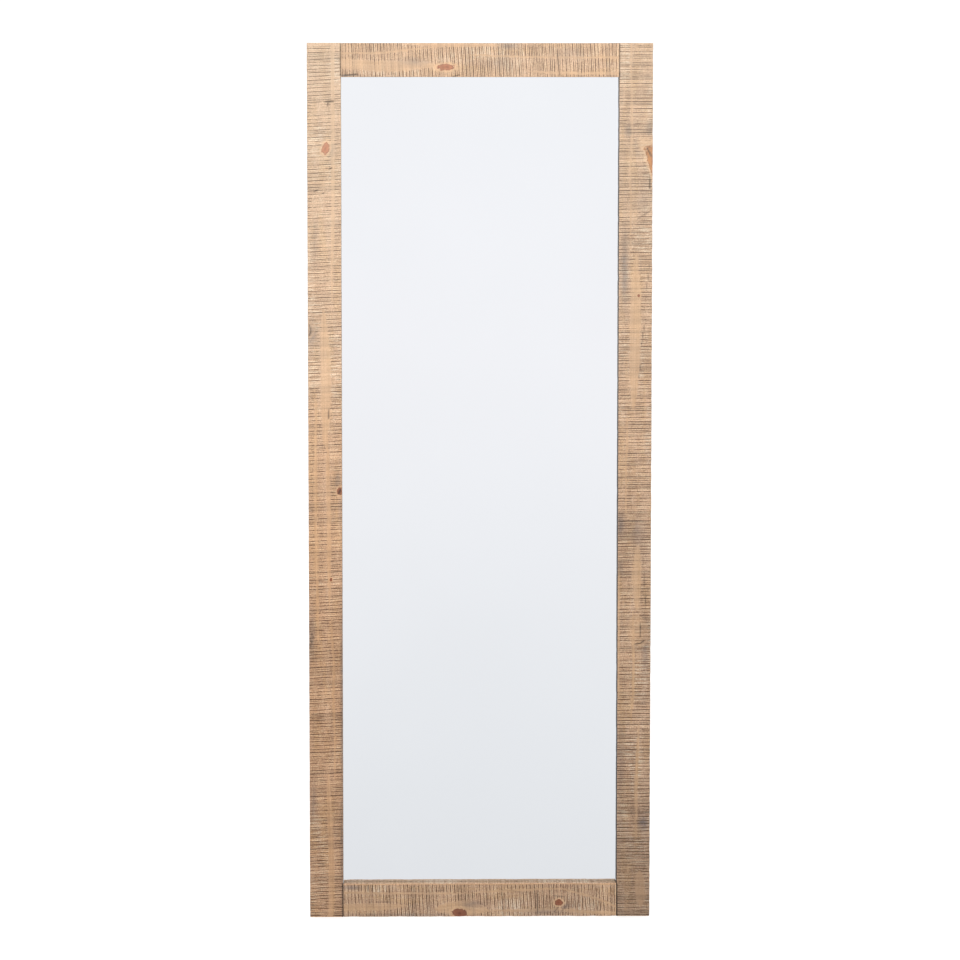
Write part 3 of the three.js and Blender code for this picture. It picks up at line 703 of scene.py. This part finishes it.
def frame_boards(material):
    """The four members of the frame, each from the box of its CAD node."""
    low, high = PANEL.reach("left_stile")
    width, thick, height = high - low
    glass_low = PANEL.reach("mirror_glass")[0]
    board_low = PANEL.reach("backing_board")[0]
    lip = glass_low[1] - GAP
    rebate = high[0] - (board_low[0] - GAP)
    sizes = dict(width=width, thick=thick, lip=lip, rebate=rebate)
    rail_low, rail_high = PANEL.reach("top_rail")
    rail_low[0] -= BUTT
    rail_high[0] += BUTT
    rail_length = rail_high[0] - rail_low[0]
    top = np.array([rail_low[0], rail_low[1], rail_high[2]])
    bottom = np.array([rail_low[0], *PANEL.reach("bottom_rail")[0][1:]])
    x, y, z = np.eye(3)
    members = (
        ("left_stile", height, low, (z, x, y)),
        ("right_stile", height, low * (-1, 1, 1), (z, -x, y)),
        ("top_rail", rail_length, top, (x, -z, y)),
        ("bottom_rail", rail_length, bottom, (x, z, y)),
    )
    for node, length, corner, axes in members:
        Board(node, length, **sizes).build(corner, axes, material)


PLANED_STEPS = [6, 3, 6, 3]
PLANED_ROWS = 6 * MM
PLANED_ENDS = np.array([0, 0.5, 1.5]) * MM
FACE_APART = 0.07  # between the stretches of grain on two faces of one board
SLANT_RUN = 0.08  # how far up a leg the rows turn from its slanted foot to square


def plain_board(node, body, material, seed, along=2, inside=None, radius=2.0, slant=0.0):
    """A planed board with rounded arrises. inside shortens it to the part between its shoulders."""
    place = PLACE_OF[body]
    low, high = place.reach(node)
    if inside is not None:
        low[along], high[along] = -inside, inside
    across = 0 if along == 2 else 2
    length, width, thick = (high - low)[[along, across, 1]]
    ring = Ring([(0, 0), (width, 0), (width, thick), (0, thick)], PLANED_STEPS, radius * MM)
    inner_rows = np.arange(PLANED_ROWS, length - PLANED_ROWS, PLANED_ROWS)
    rows = np.concatenate([PLANED_ENDS, inner_rows, length - PLANED_ENDS[::-1]])
    a, b, d = rows_by_points(rows, ring)
    unrolled = b + np.where(ring.faces % 2 == 1, d, 0) + FACE_APART * ring.faces
    end = np.minimum(a, length - a)
    rounded = 0.7 * MM * (1 - np.sqrt(np.clip(end / (1.5 * MM), 0, 1)))
    sink = rounded + 0.16 * MM * rough_noise(seed, a / 0.06, unrolled / 0.02)
    axes = [np.eye(3)[along], np.eye(3)[across], np.eye(3)[1]]
    a_cut = a + (thick - d) * math.tan(slant) * np.clip(1 - a / SLANT_RUN, 0, 1)
    b = b - ring.normals[:, 0] * sink
    d = d - ring.normals[:, 1] * sink
    made = swept(node + "_board", place, low, axes, a_cut, b, d, material)
    set_vector(made, "grain", a + seed * APART, unrolled, d)
    finish_piece(made, body, "planed_pine", node)


def stand_boards(pine):
    leg_inner = STAND.reach("stand_leg_right")[0][0]
    for k, side in enumerate(("left", "right")):
        plain_board("stand_leg_" + side, "stand", pine, 11 + k, slant=STAND.angle)
    for k, level in enumerate(("top", "middle", "bottom")):
        plain_board(f"stand_{level}_rail", "stand", pine, 13 + k, along=0, inside=leg_inner - GAP)


def backing_boards(pine):
    plain_board("hinge_rail", "mirror_frame", pine, 21, along=0)
    for k, (edge, along) in enumerate((("left", 2), ("right", 2), ("top", 0), ("bottom", 0))):
        plain_board("batten_" + edge, "mirror_frame", pine, 31 + k, along=along, radius=0.8)


# ---- material nodes ----


def linear(colour):
    """A linear colour with alpha, from a hex code such as 0xC8A27A or from three linear values."""
    if isinstance(colour, int):
        parts = [(colour >> shift & 255) / 255 for shift in (16, 8, 0)]
        colour = [p / 12.92 if p <= 0.04045 else ((p + 0.055) / 1.055) ** 2.4 for p in parts]
    return [*colour, 1.0]


class Nodes:
    """A node tree, with short calls for the nodes used here."""

    def __init__(self, tree):
        self.tree = tree

    def node(self, kind, inputs=(), output=0, **settings):
        made = self.tree.nodes.new("ShaderNode" + kind)
        for key, value in settings.items():
            setattr(made, key, value)
        for slot, value in dict(inputs).items():
            self.feed(made.inputs[slot], value)
        return made.outputs[output]

    def feed(self, socket, value):
        if isinstance(value, bpy.types.NodeSocket):
            self.tree.links.new(value, socket)
        else:
            socket.default_value = value

    def attribute(self, name):
        return self.node("Attribute", output="Vector", attribute_name=name)

    def place(self):
        return self.node("TexCoord", output="Object")

    def split(self, vector):
        return self.node("SeparateXYZ", {0: vector}).node.outputs

    def math(self, operation, a, b=0.0, clamp=False):
        return self.node("Math", {0: a, 1: b}, operation=operation, use_clamp=clamp)

    def times(self, a, b, clamp=False):
        return self.math("MULTIPLY", a, b, clamp)

    def scaled(self, vector, scale):
        return self.node("VectorMath", {0: vector, 1: scale}, operation="MULTIPLY")

    def noise(self, vector, scale, detail=3.0, roughness=0.55, distortion=0.0):
        inputs = {"Vector": self.scaled(vector, scale), "Scale": 1.0, "Detail": detail,
                  "Roughness": roughness, "Distortion": distortion}
        return self.node("TexNoise", inputs)

    def between(self, value, low, high, to_low=0.0, to_high=1.0):
        inputs = {"Value": value, "From Min": low, "From Max": high, "To Min": to_low, "To Max": to_high}
        return self.node("MapRange", inputs, interpolation_type="SMOOTHSTEP")

    def ramp(self, value, stops):
        """stops holds a colour for each place on the ramp."""
        made = self.node("ValToRGB", {0: value})
        elements = made.node.color_ramp.elements
        (first, low), *middle, (last, high) = stops.items()
        elements[0].position, elements[0].color = first, linear(low)
        elements[1].position, elements[1].color = last, linear(high)
        for place, colour in middle:
            elements.new(place).color = linear(colour)
        return made

    def mix(self, factor, a, b):
        return self.node("Mix", {0: factor, 6: a, 7: b}, 2, data_type="RGBA")

    def tint(self, colour, code, factor):
        return self.mix(factor, colour, linear(code))

    def bump(self, height, distance, strength):
        return self.node("Bump", {"Height": height, "Distance": distance, "Strength": strength})


class Look(Nodes):
    """A material made of nodes."""

    def __init__(self, name):
        self.material = bpy.data.materials.new(name)
        self.material.use_nodes = True
        super().__init__(self.material.node_tree)

    def set(self, **sockets):
        shader = self.tree.nodes["Principled BSDF"]
        for name, value in sockets.items():
            self.feed(shader.inputs[name.replace("_", " ")], value)
        return self.material


def sawn_surface(look, grain, band, pale):
    """Bare rough-sawn pine: broad tones, streaks, dust and the fine fibres that the saw tore."""
    broad = look.noise(grain, (5, 34, 34), 3)
    colour = look.ramp(broad, {0.3: 0xBD9879, 0.5: 0xC7A283, 0.72: 0xD2B094})
    streak = look.between(look.noise(grain, (9, 420, 420), 4, 0.6), 0.5, 0.72)
    colour = look.tint(colour, 0x97765A, look.times(streak, 0.22))
    ochre = look.between(look.noise(grain, (8, 45, 45), 3, 0.6), 0.46, 0.66, 0.0, 0.38)
    colour = look.tint(colour, 0xC9A06B, ochre)
    dusty = look.between(look.noise(grain, (60, 90, 90), 4, 0.7), 0.52, 0.7)
    colour = look.tint(colour, 0xDCC7B2, look.times(look.times(dusty, pale), 0.5))

    rough_part = look.between(band, 0.02, 0.35, 1.0, 0.35)
    fine = look.noise(grain, (430, 30, 30), 3, 0.65)
    dark_fine = look.times(look.between(fine, 0.5, 0.66, 0.0, 0.5), rough_part)
    colour = look.tint(colour, 0x86654A, dark_fine)
    chalk = look.times(look.between(fine, 0.4, 0.52, 0.6, 0.0), look.between(pale, 0.55, 0.8))
    colour = look.tint(colour, 0xE9DAC5, look.times(chalk, rough_part))
    pale_fine = look.times(look.between(fine, 0.36, 0.48, 0.45, 0.0), rough_part)
    colour = look.tint(colour, 0xE6D0AE, pale_fine)
    speckle = look.noise(grain, (330, 400, 400), 3, 0.75)
    colour = look.tint(colour, 0x765A44, look.between(speckle, 0.48, 0.66, 0.0, 0.62))
    colour = look.tint(colour, 0xE4CFAE, look.between(speckle, 0.34, 0.46, 0.5, 0.0))

    flame = look.noise(grain, (7, 260, 260), 2)
    inner = look.ramp(flame, {0.35: 0xB08B66, 0.65: 0xCEAA84})
    colour = look.tint(colour, 0xBE9870, look.between(band, 0.03, 0.2, 0.0, 0.28))
    return look.mix(look.between(band, 0.2, 0.45, 0.0, 0.45), colour, inner), rough_part


def knot_colour(look, knot, hue):
    """Rings of light and dark from the rim to the heart of a knot, in its own hue."""
    base = look.ramp(hue, {0.0: 0x7A4429, 0.5: 0xB07150, 0.6: 0xB8744F, 1.0: 0xB67B45})
    rings = look.ramp(knot, {0.0: (1.0, 1.0, 1.0), 0.1: (0.5, 0.42, 0.4), 0.26: (1.0, 1.0, 1.0),
                             0.6: (0.9, 0.86, 0.84), 0.95: (0.62, 0.5, 0.45)})
    return look.scaled(base, rings)


def reclaimed_pine():
    look = Look("reclaimed_pine")
    grain = look.attribute("grain")
    groove, band, crack = look.split(look.attribute("marks"))
    knot, stain_and_shade, pale = look.split(look.attribute("flaws"))
    tone, painted_haze, warmth = look.split(look.attribute("tone_and_painted_light"))
    colour, rough_part = sawn_surface(look, grain, band, pale)

    # Stains, with the painted grey shade on the lip and the painted shade lines beside the glass.
    colour = look.tint(colour, 0x5B595E, look.times(stain_and_shade, 0.85, clamp=True))
    torn = look.between(look.noise(grain, (260, 240, 240), 2, 0.6), 0.3, 0.7, 1.2, 3.0)
    line = look.times(groove, torn, clamp=True)
    colour = look.tint(colour, 0x543820, line)
    colour = look.tint(colour, 0xCFA880, look.times(look.between(knot, -0.75, -0.1), 0.6))
    frayed = look.between(look.noise(grain, (240, 300, 300), 3, 0.7), 0.3, 0.7, -0.16, 0.16)
    in_knot = look.between(look.math("ADD", knot, frayed), -0.12, 0.16)
    colour = look.mix(in_knot, colour, knot_colour(look, knot, pale))
    # Cracks and dark joints, with the painted dark shade on the lip beside the glass.
    colour = look.tint(colour, 0x2A1E18, look.times(crack, 0.9, clamp=True))

    colour = look.scaled(colour, look.node("CombineXYZ", {0: tone, 1: tone, 2: tone}))
    colour = look.mix(warmth, colour, look.scaled(colour, (1.0, 0.92, 0.84)))
    kept = look.math("ADD", look.times(line, 0.5), look.times(in_knot, 0.5))
    kept = look.math("MAXIMUM", kept, crack)
    # Painted haze: paler up the board in place of a haze of light, thinner over the marks.
    painted_haze_tint = look.times(painted_haze, look.between(kept, 0.0, 1.0, 0.3, 0.08))
    colour = look.tint(colour, 0xD6C9B4, painted_haze_tint)

    fibre = look.noise(grain, (90, 1500, 1500), 3, 0.6)
    tooth = look.noise(grain, (700, 120, 120), 2, 0.5)
    height = look.math("ADD", look.times(fibre, 0.5), look.times(tooth, rough_part))
    dull = look.between(fibre, 0.3, 0.7, 0.5, 0.64)
    roughness = look.math("ADD", look.times(rough_part, 0.14), dull)
    return look.set(Base_Color=colour, Roughness=roughness, Normal=look.bump(height, 0.0004, 0.7),
                    Specular_IOR_Level=0.5)


def planed_pine():
    look = Look("planed_pine")
    grain = look.attribute("grain")
    warp = look.noise(grain, (1.6, 14, 14), 2, 0.5)
    across = look.split(grain)[1]
    rings = look.math("ADD", look.times(across, 130.0), look.times(warp, 11.0))
    saw = look.math("FRACT", rings)
    late = look.times(look.between(saw, 0.45, 0.9), look.between(saw, 0.9, 1.0, 1.0, 0.0))
    colour = look.ramp(look.noise(grain, (3, 26, 26), 3), {0.3: 0xC79E6C, 0.7: 0xD9B788})
    colour = look.tint(colour, 0xA9733F, look.times(late, 0.62))
    fibre = look.noise(grain, (30, 1300, 1300), 4, 0.65)
    colour = look.tint(colour, 0x9C7144, look.between(fibre, 0.48, 0.75, 0.0, 0.3))
    handled = look.noise(grain, (12, 20, 20), 4, 0.7)
    colour = look.tint(colour, 0x94795B, look.between(handled, 0.55, 0.8, 0.0, 0.22))
    roughness = look.between(fibre, 0.3, 0.7, 0.48, 0.66)
    return look.set(Base_Color=colour, Roughness=roughness, Normal=look.bump(fibre, 0.00025, 0.6))


def beech():
    look = Look("beech")
    fleck = look.noise(look.place(), (60, 700, 700), 3)
    colour = look.ramp(fleck, {0.35: 0xC79D72, 0.65: 0xD8B48A})
    return look.set(Base_Color=colour, Roughness=look.between(fleck, 0.3, 0.7, 0.5, 0.65))


def hardboard():
    look = Look("hardboard")
    place = look.place()
    cloud = look.noise(place, (7, 7, 7), 5, 0.6)
    colour = look.ramp(cloud, {0.3: 0x6B4A31, 0.5: 0x795739, 0.7: 0x876545})
    felt = look.noise(place, (900, 900, 900), 4, 0.7, 1.2)
    colour = look.tint(colour, 0x4E3522, look.between(felt, 0.5, 0.72, 0.0, 0.5))
    speck = look.noise(place, (260, 260, 420), 2, 0.6)
    colour = look.tint(colour, 0xA07E58, look.between(speck, 0.64, 0.76, 0.0, 0.6))
    roughness = look.between(cloud, 0.3, 0.7, 0.42, 0.62)
    return look.set(Base_Color=colour, Roughness=roughness, Normal=look.bump(felt, 0.00015, 0.5))


def zinc_steel():
    look = Look("zinc_steel")
    place = look.place()
    cloud = look.noise(place, (45, 45, 45), 4, 0.6)
    colour = look.ramp(cloud, {0.3: 0xA9ABA8, 0.7: 0xC9CAC6})
    brushed = look.noise(place, (1500, 90, 90), 3, 0.6)
    colour = look.tint(colour, 0x8B8D8C, look.between(brushed, 0.55, 0.8, 0.0, 0.35))
    cloudy = look.between(cloud, 0.3, 0.7, 0.24, 0.36)
    roughness = look.math("ADD", cloudy, look.between(brushed, 0.3, 0.8, 0.0, 0.12))
    return look.set(Base_Color=colour, Metallic=1.0, Roughness=roughness,
                    Normal=look.bump(brushed, 0.00006, 0.4))


def rubber():
    look = Look("rubber")
    place = look.place()
    grit = look.noise(place, (1400, 1400, 1400), 3, 0.6)
    dust = look.noise(place, (120, 120, 120), 4, 0.65)
    colour = look.ramp(dust, {0.4: 0x1B1B1C, 0.75: 0x37363A})
    return look.set(Base_Color=colour, Roughness=look.between(grit, 0.3, 0.7, 0.72, 0.9),
                    Normal=look.bump(grit, 0.0002, 0.5))


def silvered_glass():
    look = Look("silvered_glass")
    place = look.place()
    haze = look.noise(place, (2.5, 2.5, 2.5), 4, 0.5)
    colour = look.ramp(haze, {0.3: 0xE9EDF0, 0.7: 0xEBEFF2})
    film = look.noise(place, (9, 9, 9), 5, 0.6)
    return look.set(Base_Color=colour, Metallic=1.0, Roughness=look.between(film, 0.4, 0.8, 0.006, 0.02))


# ---- pieces that keep their CAD shape ----


SHARP = 40  # degrees: edges at least this sharp get a bevel


def softened(node, body, material, slot, bevel):
    """The CAD node's own shape, welded, with a small bevel on its edges."""
    shape = bmesh.new()
    shape.from_mesh(frame["nodes"][node].data)
    bmesh.ops.remove_doubles(shape, verts=shape.verts, dist=0.01 * MM)
    bmesh.ops.dissolve_limit(shape, angle_limit=0.01, verts=shape.verts, edges=shape.edges)
    vertices = [v.co[:] for v in shape.verts]
    faces = [[v.index for v in f.verts] for f in shape.faces]
    shape.free()
    made = mesh_object(node + "_finished", vertices, faces, material, SHARP)
    edge = made.modifiers.new("edge", "BEVEL")
    edge.width, edge.segments = bevel, 2
    edge.limit_method, edge.angle_limit = "ANGLE", math.radians(SHARP)
    edge.harden_normals = True
    finish_piece(made, body, slot, node)


def repaint(node, material):
    for slot in frame["nodes"][node].material_slots:
        slot.material = material


def hardware(steel, black, wood):
    slot_of = {part["node"]: part["material_slot"] for part in frame["record"]["subparts"]}
    with_new_heads = ("rail_screw", "bracket_screw")
    for body, nodes in frame["record"]["behaviour"]["bodies"].items():
        for node in nodes:
            if slot_of[node] == "zinc_steel" and not node.startswith(with_new_heads):
                softened(node, body, steel, "zinc_steel", 0.25 * MM)
            elif slot_of[node] == "rubber":
                softened(node, body, black, "rubber", 0.6 * MM)
            elif slot_of[node] == "beech":
                repaint(node, wood)


# ---- screws ----

SMALL = dict(radius=2.9 * MM, rise=0.45 * MM, flare=1.8 * MM)
MEDIUM = dict(radius=4.0 * MM, rise=0.5 * MM, flare=2.2 * MM)
PAN = dict(radius=4.0 * MM, rise=2.1 * MM, flare=0.6 * MM)
WIDE = dict(radius=5.5 * MM, rise=0.5 * MM, flare=3.0 * MM)
SCREW_FACETS = 28
RECESS_DEPTH = 0.9 * MM


def object_of(shape, name):
    mesh = bpy.data.meshes.new(name)
    shape.to_mesh(mesh)
    shape.free()
    return add_object(name, mesh)


def recess(radius, rise, flare, turn):
    """One bar of the cross that is cut into a screw's head."""
    bar = bmesh.new()
    tall, deep = rise + flare, min(RECESS_DEPTH, flare + rise * 0.9)
    bmesh.ops.create_cube(bar, size=1.0)
    bmesh.ops.scale(bar, vec=(radius * 1.15, tall, radius * 0.2), verts=bar.verts)
    bmesh.ops.translate(bar, vec=(0, rise + tall * 0.5 - deep, 0), verts=bar.verts)
    bmesh.ops.rotate(bar, cent=(0, 0, 0), matrix=Matrix.Rotation(turn, 3, "Y"), verts=bar.verts)
    return object_of(bar, "recess")


def screw_head(radius, rise, flare):
    """Vertices and faces of a cross-head screw whose axis is +Y, with its rim at y = 0."""
    shape = bmesh.new()
    profile = [(0, rise), (radius * 0.55, rise * 0.93), (radius * 0.85, rise * 0.62), (radius, 0.0),
               (radius - flare * 0.5, -flare * 0.5), (radius * 0.45, -flare), (0, -flare)]
    path = [shape.verts.new((r, y, 0)) for r, y in profile]
    edges = [shape.edges.new(pair) for pair in zip(path, path[1:])]
    bmesh.ops.spin(shape, geom=path + edges, cent=(0, 0, 0), axis=(0, 1, 0), angle=math.tau,
                   steps=SCREW_FACETS)
    bmesh.ops.remove_doubles(shape, verts=shape.verts, dist=radius * 1e-3)
    bmesh.ops.recalc_face_normals(shape, faces=shape.faces)
    body = object_of(shape, "screw_head")
    cutters = [recess(radius, rise, flare, turn) for turn in (0, math.pi / 2)]
    for cutter in cutters:
        cut = body.modifiers.new("recess", "BOOLEAN")
        cut.object, cut.operation, cut.solver = cutter, "DIFFERENCE", "EXACT"
    bpy.context.view_layer.update()
    done = body.evaluated_get(bpy.context.evaluated_depsgraph_get()).to_mesh()
    vertices = np.array([v.co[:] for v in done.vertices])
    faces = [list(p.vertices) for p in done.polygons]
    for scrap in [body, *cutters]:
        bpy.data.objects.remove(scrap)
    return vertices, faces


def screws(name, body, places, head, steel, seed, *nodes):
    """One object with a screw head at each (x, depth, height) place, each turned its own way."""
    rng = np.random.default_rng(seed)
    head_vertices, head_faces = head
    vertices, faces = [], []
    for spot in places:
        turn = np.array(Matrix.Rotation(rng.uniform(0, math.pi), 3, "Y"))
        start = len(vertices) * len(head_vertices)
        vertices.append(PLACE_OF[body].to_world(head_vertices @ turn.T + np.array(spot)))
        faces += [[start + k for k in face] for face in head_faces]
    made = mesh_object(name, np.concatenate(vertices), faces, steel, sharp=35)
    finish_piece(made, body, "zinc_steel", *nodes)


PLATE_STRIP = 18 * MM
HINGE_SCREWS = [(-27.36, 15), (0, 7.8), (27.36, 15)]  # from the leaf's middle, and in from its edge
LEAF_THICK = 2 * MM
BATTEN_SCREW_OUT = 4 * MM
BATTEN_SCREW_END = 70 * MM
BRACKET_HEAD_RISE = 2.4 * MM


def corner_plate_screws(side, sign, end, up, head, steel):
    low, high = PANEL.reach(f"corner_plate_{end}_{side}")
    arm, middle = high[0] - low[0], PLATE_STRIP / 2
    outer = high[0] if sign > 0 else low[0]
    edge = high[2] if up > 0 else low[2]
    steps = [0.45 * arm, 0.88 * arm]
    spots = [(s, middle) for s in steps] + [(middle, s) for s in steps]
    places = [(outer - sign * s, high[1], edge - up * t) for s, t in spots]
    screws(f"corner_plate_screws_{end}_{side}", "mirror_frame", places, head, steel, 50 + up)


def hinge_screws(side, leaf, body, up, head, steel):
    low, high = PLACE_OF[body].reach(f"hinge_{leaf}_leaf_{side}")
    middle, face = (low[0] + high[0]) / 2, low[1] + LEAF_THICK
    outer = high[2] if up > 0 else low[2]
    places = [(middle + x * MM, face, outer - up * drop * MM) for x, drop in HINGE_SCREWS]
    screws(f"hinge_screws_{leaf}_{side}", body, places, head, steel, 60 + up)


def side_batten_screws(side, sign, head, steel):
    """A row of screws up a batten, without those that the hinge rail would cover."""
    low, high = PANEL.reach("batten_" + side)
    rail_low, rail_high = PANEL.reach("hinge_rail")
    x = (low[0] + high[0]) / 2 + sign * BATTEN_SCREW_OUT
    heights = np.linspace(low[2] + BATTEN_SCREW_END, high[2] - BATTEN_SCREW_END, 7)
    places = [(x, high[1], z) for z in heights if not rail_low[2] < z < rail_high[2]]
    screws("batten_screws_" + side, "mirror_frame", places, head, steel, 71)


def end_batten_screws(end, head, steel):
    low, high = PANEL.reach("batten_" + end)
    places = [(x, high[1], (low[2] + high[2]) / 2) for x in np.linspace(-0.2, 0.2, 3)]
    screws("batten_screws_" + end, "mirror_frame", places, head, steel, 75)


def lone_screw(node, head, rise, steel, seed):
    """The head of a screw whose shank stays hidden in the wood."""
    low, high = PANEL.reach(node)
    spot = ((low[0] + high[0]) / 2, high[1] - rise, (low[2] + high[2]) / 2)
    screws(node + "_head", "mirror_frame", [spot], head, steel, seed, node)


def all_screws(steel):
    small, medium, pan, wide = (screw_head(**size) for size in (SMALL, MEDIUM, PAN, WIDE))
    for side, sign in (("left", -1), ("right", 1)):
        for end, up in (("bottom", -1), ("top", 1)):
            corner_plate_screws(side, sign, end, up, medium, steel)
        hinge_screws(side, "frame", "mirror_frame", 1, small, steel)
        hinge_screws(side, "stand", "stand", -1, small, steel)
        side_batten_screws(side, sign, small, steel)
        for level in ("lower", "upper"):
            lone_screw(f"rail_screw_{side}_{level}", wide, 0, steel, 80)
            lone_screw(f"bracket_screw_{side}_{level}", pan, BRACKET_HEAD_RISE, steel, 90)
    for end in ("top", "bottom"):
        end_batten_screws(end, small, steel)


# ---- stage, light and camera ----


FLOOR_REACH = (-40.0, 40.0, -1.75, 60.0)
FLOOR_GLOW = 0.92


def floor():
    """A pale floor with a glow of its own, which ends in front of the mirror, out of sight."""
    left, right, front, back = FLOOR_REACH
    corners = [(left, front, 0), (right, front, 0), (right, back, 0), (left, back, 0)]
    mesh = bpy.data.meshes.new("floor")
    mesh.from_pydata(corners, [], [(0, 1, 2, 3)])
    look = Look("pale_floor")
    mottle = look.noise(look.place(), (3, 3, 3), 2)
    shade = look.ramp(mottle, {0.3: (0.30, 0.30, 0.30), 0.7: (0.32, 0.32, 0.32)})
    diffuse = look.node("BsdfDiffuse", {"Color": shade})
    glow = look.node("Emission", {"Color": linear((1.0, 1.0, 1.0)), "Strength": FLOOR_GLOW})
    both = look.node("AddShader", {0: diffuse, 1: glow})
    look.feed(look.tree.nodes["Material Output"].inputs["Surface"], both)
    mesh.materials.append(look.material)
    add_object("floor", mesh)


# Colours by degrees above the horizon.
FRONT_WALL = {
    -4.2: (1.10, 1.10, 1.10), -3.4: (0.89, 0.88, 0.89), -0.8: (0.95, 0.94, 0.95),
    2.7: (1.02, 1.00, 1.01), 5.3: (1.07, 1.04, 1.05), 11: (1.08, 1.06, 1.07),
    24: (0.80, 0.82, 0.85), 50: (0.40, 0.41, 0.43), 90: (0.34, 0.34, 0.35),
}
BACK_WALL = {
    -4.2: (1.10, 1.10, 1.10), 12: (1.04, 1.04, 1.05), 35: (0.70, 0.70, 0.72), 90: (0.36, 0.36, 0.37),
}
LOWEST = -0.2  # sine of the lowest elevation on the walls


def world():
    """A pale studio: white low down and behind, and a soft grey-to-white wall in front of the glass."""
    sky = bpy.data.worlds.new("studio")
    sky.use_nodes = True
    bpy.context.scene.world = sky
    nodes = Nodes(sky.node_tree)
    _, y, z = nodes.split(nodes.node("TexCoord"))
    rise = nodes.node("MapRange", {"Value": z, "From Min": LOWEST, "From Max": 1.0})

    def wall(colours):
        return nodes.ramp(rise, {(math.sin(math.radians(e)) - LOWEST) / (1 - LOWEST): colour
                                 for e, colour in colours.items()})

    surround = nodes.mix(nodes.between(y, -0.5, 0.15), wall(FRONT_WALL), wall(BACK_WALL))
    nodes.feed(sky.node_tree.nodes["Background"].inputs["Color"], surround)


def area_light(name, place, aim, size, watts, colour):
    data = bpy.data.lights.new(name, "AREA")
    data.shape, data.size, data.size_y = "RECTANGLE", *size
    data.energy, data.color = watts, colour
    made = add_object(name, data)
    made.location = place
    made.rotation_euler = (Vector(aim) - Vector(place)).to_track_quat("-Z", "Y").to_euler()
    made.visible_camera = False


def lights():
    area_light("key", (0.15, -1.35, 2.75), (0.0, 0.1, 1.75), (1.6, 0.5), 26, (1.0, 0.985, 0.96))
    area_light("back_fill", (-1.6, 2.6, 2.6), (0.0, 0.1, 0.9), (1.6, 1.2), 40, (1.0, 0.99, 0.97))


SENSOR = 36.0
DISTANCE = 8.0
ABOVE_NORMAL = math.radians(5.5)
LEFT_OF_NORMAL = math.radians(1)
ROLL = math.radians(0.17)
TAKEN_IN = 1.9717  # metres of height in view at the mirror's distance
AIM_ABOVE_MIDDLE = 9.2 * MM


def camera():
    low, high = PANEL.reach("left_stile")
    aim = PANEL.to_world([0, 0, (low[2] + high[2]) / 2 + AIM_ABOVE_MIDDLE])
    elevation = -PANEL.angle + ABOVE_NORMAL
    level = math.cos(elevation)
    left, front = math.sin(LEFT_OF_NORMAL) * level, math.cos(LEFT_OF_NORMAL) * level
    back = Vector((-left, -front, math.sin(elevation)))
    data = bpy.data.cameras.new("camera")
    data.sensor_width = SENSOR
    data.lens = SENSOR * DISTANCE / TAKEN_IN
    made = add_object("camera", data)
    made.location = Vector(aim) + back * DISTANCE
    turn = (-back).to_track_quat("-Z", "Y") @ Quaternion((0, 0, 1), ROLL)
    made.rotation_euler = turn.to_euler()
    bpy.context.scene.camera = made


def colour_management():
    view = bpy.context.scene.view_settings
    view.view_transform = "Standard"
    view.look = "None"


camera()
colour_management()
frame_boards(reclaimed_pine())
pine = planed_pine()
stand_boards(pine)
backing_boards(pine)
steel = zinc_steel()
hardware(steel, rubber(), beech())
all_screws(steel)
repaint("mirror_glass", silvered_glass())
repaint("backing_board", hardboard())
floor()
world()
lights()
